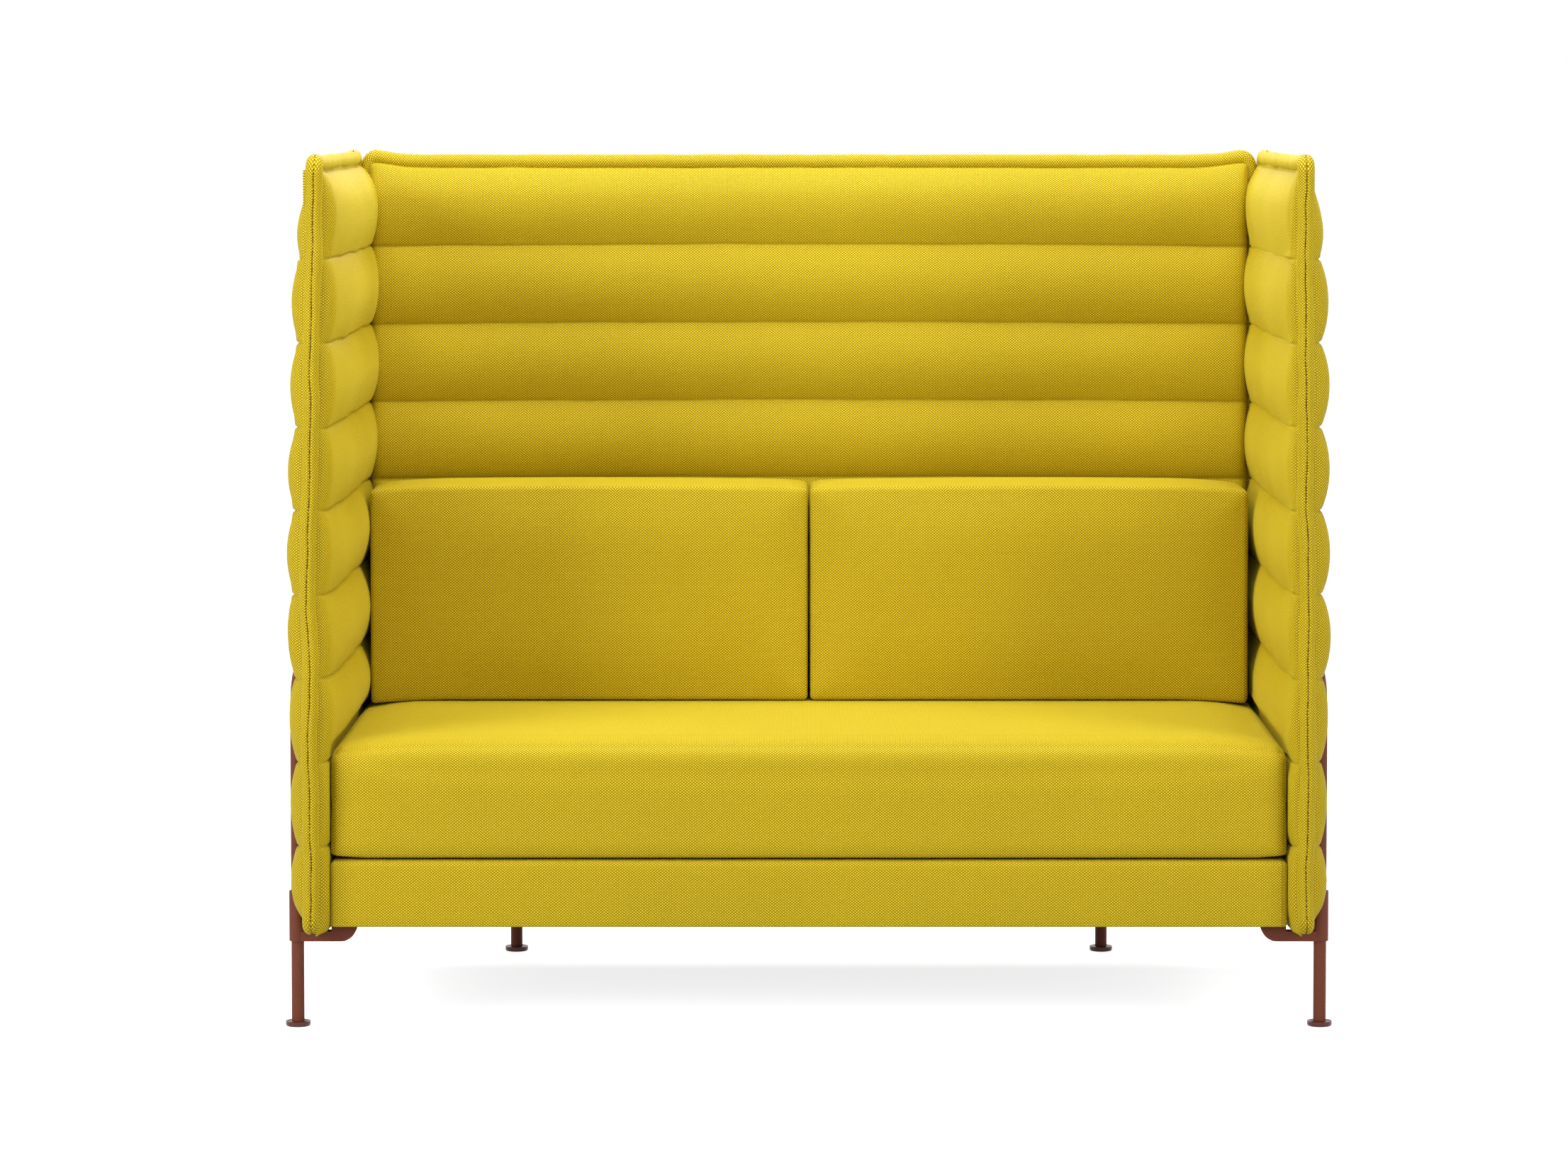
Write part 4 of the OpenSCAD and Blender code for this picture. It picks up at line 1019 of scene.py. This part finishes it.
# The base cover's section: its crown and how far it stays below the pads' top, its small corners
# inside and below, and its corners in plan
CROWN, COVER_DIP, INNER_ROUND, LOWER_ROUND, PLAN_ROUND = 11 * MM, 2 * MM, 1 * MM, 3 * MM, 7 * MM
# Its points lie this far apart in the section and along a side, and start this close to a corner
SECTION_STEP, COVER_STEP, NEAR_CORNER = 12 * MM, 20 * MM, 3 * MM
# The front swells between its edges, which stay behind the CAD's face, and waves a little
COVER_SWELL, COVER_BACK, COVER_WAVE, COVER_EDGE = 1 * MM, 1.2 * MM, 0.5 * MM, 4 * MM
# The lower corners at both ends of the front are rounded a little, fading out upwards
TOE, TOE_OVER = 2.5 * MM, 40 * MM


def arc_ways(start, parts):
    """The directions through a quarter turn from a start in degrees."""
    turns = [math.radians(start + 90 * k / parts) for k in range(parts + 1)]
    return [(math.cos(turn), math.sin(turn)) for turn in turns]


def side_steps(length):
    """Shares of one stretch of the cover: just its start in a corner, and on a side, even points that
    crowd towards both ends."""
    if length < COVER_STEP:
        return [0]
    near = NEAR_CORNER / length
    middle = np.linspace(8 * near, 1 - 8 * near, int(length / COVER_STEP))
    return [0, near, 3 * near, *middle, 1 - 3 * near, 1 - near]


def lengths_along(line):
    """The length so far at each point of a line."""
    return np.concatenate([[0], np.cumsum(np.linalg.norm(np.diff(line, axis=0), axis=1))])


def base_cover():
    """The seat base's cover: a foam strip under cloth round all four sides, with soft lower edges."""
    thick = front_high[1] - front_low[1]
    low, tall = base_low[2], base_high[2] - base_low[2]
    x, y0, y1 = base_high[0], front_low[1], base_high[1]
    section = []
    for u, v, r, start in ((thick - LOWER_ROUND, LOWER_ROUND, LOWER_ROUND, -90),
                           (thick - CROWN, tall - COVER_DIP - CROWN, CROWN, 0),
                           (INNER_ROUND, tall - COVER_DIP - INNER_ROUND, INNER_ROUND, 90),
                           (LOWER_ROUND, LOWER_ROUND, LOWER_ROUND, 180)):
        section += [(u + r * way_u, v + r * way_v) for way_u, way_v in arc_ways(start, 4)]
    outline = []
    for p, q in zip(section, section[1:] + section[:1]):
        count = max(1, int(math.dist(p, q) / SECTION_STEP))
        outline += [np.add(p, np.subtract(q, p) * k / count) for k in range(count)]
    outline = np.array(outline)
    path, ways = [], []
    for cx, cy, start in ((x - PLAN_ROUND, y0 + PLAN_ROUND, -90), (x - PLAN_ROUND, y1 - PLAN_ROUND, 0),
                          (PLAN_ROUND - x, y1 - PLAN_ROUND, 90), (PLAN_ROUND - x, y0 + PLAN_ROUND, 180)):
        for way_x, way_y in arc_ways(start, 6):
            path.append((cx + PLAN_ROUND * way_x, cy + PLAN_ROUND * way_y))
            ways.append((way_x, way_y))
    line, line_ways = [], []
    for p, q, way in zip(path, path[1:] + path[:1], ways):
        for share in side_steps(math.dist(p, q)):
            line.append(np.add(p, np.subtract(q, p) * share))
            line_ways.append(way)
    line, line_ways = np.array(line), np.array(line_ways)
    along, across = lengths_along(line), lengths_along(outline)
    u, v = outline.T
    outer = np.clip((u - thick + COVER_EDGE) / COVER_EDGE, 0, 1)
    bulge = COVER_SWELL * np.sin(math.pi * np.clip(v / tall, 0, 1)) - COVER_BACK
    wave = COVER_WAVE * soft_noise(along[:, None], v[None, :], 400 * MM, 91)
    front = np.clip(-line_ways[:, 1:], 0, 1)
    depth = (u - thick)[None, :] + outer[None, :] * (bulge[None, :] + wave) * front
    short = np.maximum(TOE - x + np.abs(line[:, :1]), 0)
    lift = TOE - np.sqrt(TOE ** 2 - np.minimum(short, TOE) ** 2)
    up = v[None, :] + lift * share_within(v[None, :], TOE_OVER)
    grid = np.stack([line[:, :1] + line_ways[:, :1] * depth, line[:, 1:] + line_ways[:, 1:] * depth,
                     low + np.minimum(up, tall)], -1)
    faces = loop_faces(*grid.shape[:2])
    weave = np.stack(np.meshgrid(along, across, indexing="ij"), -1)
    made = piece("base_cover", grid.reshape(-1, 3), faces, FABRIC, weave.reshape(-1, 2))
    outward(made)
    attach(made, "root")
    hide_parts("base_front_pad", "base_side_pads", "base_rear_pad")


base_cover()
inflate_all()
for close in closing:
    close()


# Webbing, dust cover and zips

def strip(points, faces, thick):
    """Doubles an open grid into a closed sheet of that thickness, straight down."""
    count = len(points)
    edges = [edge for face in faces for edge in zip(face, face[1:] + face[:1])]
    known = set(edges)
    closed = list(faces) + [tuple(count + i for i in face[::-1]) for face in faces]
    closed += [(q, p, count + p, count + q) for p, q in edges if (q, p) not in known]
    return np.vstack([points, points - [0, 0, thick]]), closed


def joined(parts):
    """The points, faces and cloth places of several sheets as those of one mesh."""
    faces, start = [], 0
    for points, own_faces, _ in parts:
        faces += [tuple(start + i for i in face) for face in own_faces]
        start += len(points)
    return np.vstack([part[0] for part in parts]), faces, np.vstack([part[2] for part in parts])


# The seat's straps: how many, how wide, how far they sag between the rails, which hold them at this
# share of their length at both ends, and the ripple across them
STRAPS, STRAP_W, STRAP_SAG, STRAP_HELD, STRAP_RIPPLE = 9, 70 * MM, 5 * MM, 0.05, 0.3 * MM
STRAP_GRID = (48, 8)


def webbing():
    """Nine straps of elastic webbing over the rails, a little slack between them."""
    low, high = node_box("seat_webbing")
    thick = high[2] - low[2]
    pitch = (high[0] - low[0] - STRAP_W) / (STRAPS - 1)
    rows, columns = STRAP_GRID
    straps = []
    for i in range(STRAPS):
        start = low[0] + i * pitch
        gx, gy = np.meshgrid(np.linspace(start, start + STRAP_W, columns),
                             np.linspace(low[1], high[1], rows))
        share = (gy - low[1]) / (high[1] - low[1])
        free = (share - STRAP_HELD) / (1 - 2 * STRAP_HELD)
        sag = STRAP_SAG * np.sin(math.pi * np.clip(free, 0, 1))
        sag = sag + STRAP_RIPPLE * np.sin(gy / (90 * MM) + i)
        gz = high[2] - np.maximum(sag, 0) * (free > 0) * (free < 1)
        points, faces = strip(np.stack([gx, gy, gz], -1).reshape(-1, 3), grid_faces(rows, columns), thick)
        flat = np.stack([gy, gx], -1).reshape(-1, 2)
        straps.append((points, faces, np.vstack([flat, flat])))
    points, faces, weave = joined(straps)
    made = piece("seat_straps", points, faces, WEBBING, weave)
    outward(made)
    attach(made, "root")
    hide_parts("seat_webbing")


# The dust cover: how far it hangs in its middle, its ripples, and its thickness
DUST_SAG, DUST_RIPPLE, DUST_THICK = 3.5 * MM, 0.5 * MM, 0.7 * MM
DUST_GRID = (37, 75)


def dust_cover():
    """A spunbonded cloth tacked under the rails, hanging a little between them."""
    low, high = node_box("base_dust_cover")
    rows, columns = DUST_GRID
    gx, gy = np.meshgrid(np.linspace(low[0], high[0], columns), np.linspace(low[1], high[1], rows))
    u = np.clip((gx - low[0]) / (high[0] - low[0]), 0, 1)
    v = np.clip((gy - low[1]) / (high[1] - low[1]), 0, 1)
    free = np.sin(math.pi * u) * np.sin(math.pi * v)
    sag = DUST_SAG * free ** 0.5 + DUST_RIPPLE * soft_noise(gx, gy, 150 * MM, 95) * free
    gz = high[2] - HAIR - np.maximum(sag, 0)
    points, faces = strip(np.stack([gx, gy, gz], -1).reshape(-1, 3), grid_faces(rows, columns), DUST_THICK)
    made = piece("dust_cover", points, faces, DUST)
    outward(made)
    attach(made, "root")
    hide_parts("base_dust_cover")


def boxes(places, size):
    """Many small blocks as one mesh's points and faces."""
    corner = np.array([(x, y, z) for x in (-0.5, 0.5) for y in (-0.5, 0.5) for z in (-0.5, 0.5)]) * size
    quads = [(0, 1, 3, 2), (4, 6, 7, 5), (0, 4, 5, 1), (2, 3, 7, 6), (0, 2, 6, 4), (1, 5, 7, 3)]
    points = (np.asarray(places)[:, None, :] + corner[None]).reshape(-1, 3)
    faces = [tuple(8 * i + k for k in q) for i in range(len(places)) for q in quads]
    return points, faces


# A zip: its tape's thickness and ripple, the half gap between its two tapes, its teeth's pitch and
# size, and how far each row of teeth stands from the middle
TAPE_THICK, TAPE_RIPPLE, TAPE_GAP = 0.8 * MM, 0.25 * MM, 0.6 * MM
TAPE_GRID = (150, 6)
TOOTH_PITCH, TOOTH_W, TOOTH_H, TOOTH_ASIDE = 3 * MM, 4.08 * MM, 1.26 * MM, 0.9 * MM


def corner_zip(word):
    """A coil zip that joins the back hem to the side hem: two tapes with interlocked teeth."""
    node = f"corner_zip_{word}"
    low, high = node_box(node)
    middle = (low[0] + high[0]) / 2
    rows, columns = TAPE_GRID
    tapes = []
    for inner, outer in ((low[0], middle - TAPE_GAP), (middle + TAPE_GAP, high[0])):
        gx, gz = np.meshgrid(np.linspace(inner, outer, columns), np.linspace(low[2], high[2], rows))
        face = low[1] + TAPE_THICK + TAPE_RIPPLE * soft_noise(gz, gx, 110 * MM, 97)
        # The sheet is thickened lying down, then stood up
        lying = np.stack([gx, gz, -face], -1).reshape(-1, 3)
        lying, faces = strip(lying, grid_faces(rows, columns), TAPE_THICK)
        upright = np.stack([lying[:, 0], -lying[:, 2], lying[:, 1]], -1)
        flat = np.stack([gz, gx], -1).reshape(-1, 2)
        tapes.append((upright, faces, np.vstack([flat, flat])))
    points, faces, weave = joined(tapes)
    made = piece(f"zip_tape_{word}", points, faces, TAPE, weave)
    outward(made)
    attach(made, "root")
    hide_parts(node)
    # The two rows of teeth lie half a pitch apart, between the tape's rear face and the zip's
    tape_rear = low[1] + TAPE_THICK
    heights = np.arange(low[2] + TOOTH_PITCH, high[2] - TOOTH_PITCH, TOOTH_PITCH)
    places = [(middle + side * TOOTH_ASIDE, (tape_rear + high[1]) / 2, z + (side + 1) * TOOTH_PITCH / 4)
              for side in (-1, 1) for z in heights]
    points, faces = boxes(places, np.array([TOOTH_W, high[1] - tape_rear, TOOTH_H]))
    teeth = piece(f"zip_teeth_{word}", points, faces, COIL, smooth=False)
    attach(teeth, "root")


webbing()
dust_cover()
for _, word in SIDES:
    corner_zip(word)


# Floor, light and camera

def seen_directly(tree):
    """1 where the camera sees a surface, straight or in glass or metal, and 0 for its light on others."""
    path = add(tree, "ShaderNodeLightPath")
    seen = add(tree, "ShaderNodeMath", {0: path.outputs["Is Camera Ray"], 1: path.outputs["Is Glossy Ray"]},
               operation="MAXIMUM")
    seen = add(tree, "ShaderNodeMath", {0: seen.outputs[0], 1: path.outputs["Is Transmission Ray"]},
               operation="MAXIMUM")
    return seen.outputs[0]


def white_stage():
    """Pale matt paint. The camera, glass and metal see it as plain white, and it still takes the shadow.
    The sofa gets the light of a greyer floor, as in a deep studio whose floor is lit least."""
    lit, lit_from, lit_to = 0.8, 1.5, 4.0
    made = bpy.data.materials.new("pale_studio_floor")
    made.use_nodes = True
    tree = made.node_tree
    tree.nodes.clear()
    paint = add(tree, "ShaderNodeBsdfDiffuse", {"Color": linear("#e6e6e6")})
    space = add(tree, "ShaderNodeTexCoord")
    far = add(tree, "ShaderNodeVectorMath", {0: space.outputs["Object"]}, operation="LENGTH")
    strength = add(tree, "ShaderNodeMapRange",
                   {0: far.outputs["Value"], 1: lit_from, 2: lit_to, 3: lit, 4: 1.0})
    glow = add(tree, "ShaderNodeEmission", {"Color": (1, 1, 1, 1), "Strength": strength.outputs[0]})
    both = add(tree, "ShaderNodeAddShader", {0: paint.outputs[0], 1: glow.outputs[0]})
    grey = add(tree, "ShaderNodeBsdfDiffuse", {"Color": linear("#a8a8a8")})
    chosen = add(tree, "ShaderNodeMixShader",
                 {0: seen_directly(tree), 1: grey.outputs[0], 2: both.outputs[0]})
    add(tree, "ShaderNodeOutputMaterial", {0: chosen.outputs[0]})
    return made


FLOOR_HALF = 30
floor_corners = [(x * FLOOR_HALF, y * FLOOR_HALF, 0) for x, y in ((-1, -1), (1, -1), (1, 1), (-1, 1))]
floor = piece("floor", floor_corners, [(0, 1, 2, 3)], white_stage(), smooth=False)


def white_world(fill):
    """Plain white where it is seen, with a weak fill light from all around."""
    world = bpy.data.worlds.new("soft_white_studio")
    bpy.context.scene.world = world
    world.use_nodes = True
    tree = world.node_tree
    tree.nodes.clear()
    around = add(tree, "ShaderNodeBackground", {"Color": (1, 1, 1, 1), "Strength": fill})
    plain = add(tree, "ShaderNodeBackground", {"Color": (1, 1, 1, 1), "Strength": 1.0})
    chosen = add(tree, "ShaderNodeMixShader",
                 {0: seen_directly(tree), 1: around.outputs[0], 2: plain.outputs[0]})
    add(tree, "ShaderNodeOutputWorld", {0: chosen.outputs[0]})


def softbox(name, place, aim, size, power):
    """A rectangular studio light that points at a place on the sofa; sizes in metres, power in watts."""
    lamp = bpy.data.lights.new(name, "AREA")
    lamp.shape = "RECTANGLE"
    lamp.size, lamp.size_y = size
    lamp.energy = power
    made = bpy.data.objects.new(name, lamp)
    bpy.context.scene.collection.objects.link(made)
    made.location = place
    way = Vector(aim) - Vector(place)
    made.rotation_euler = way.to_track_quat("-Z", "Y").to_euler()


white_world(0.11)
softbox("overhead_softbox", (0, -0.4, 3.6), (0, 0, 0.6), (3.4, 2.4), 147)
softbox("left_softbox", (-3.0, -2.6, 1.8), (0.7, 0.0, 0.8), (1.6, 2.4), 112)
softbox("right_softbox", (3.0, -2.6, 1.8), (-0.7, 0.0, 0.8), (1.6, 2.4), 74)
softbox("front_softbox", (0, -6.0, 2.6), (0, 0.2, 0.7), (2.6, 2.0), 58)
softbox("rear_softbox", (0, 2.6, 3.0), (0, 0, 1.1), (3.0, 1.4), 78)

# The camera that was solved from the photo: its place in metres, how far it looks down in degrees,
# its lens and sensor in millimetres, and its shift in shares of the picture's width
CAMERA_PLACE, CAMERA_DOWN = (0, -8.7228, 1.4488), 3.495
CAMERA_LENS, CAMERA_SENSOR, CAMERA_SHIFT = 123.28, 36, (-0.01582, -0.1)
camera = bpy.data.cameras.new("camera")
camera.sensor_width = CAMERA_SENSOR
camera.lens = CAMERA_LENS
camera.shift_x, camera.shift_y = CAMERA_SHIFT
camera.clip_end = 100
viewer = bpy.data.objects.new("camera", camera)
bpy.context.scene.collection.objects.link(viewer)
viewer.location = CAMERA_PLACE
viewer.rotation_euler = (math.radians(90 - CAMERA_DOWN), 0, 0)
bpy.context.scene.camera = viewer
bpy.context.scene.view_settings.view_transform = "Standard"
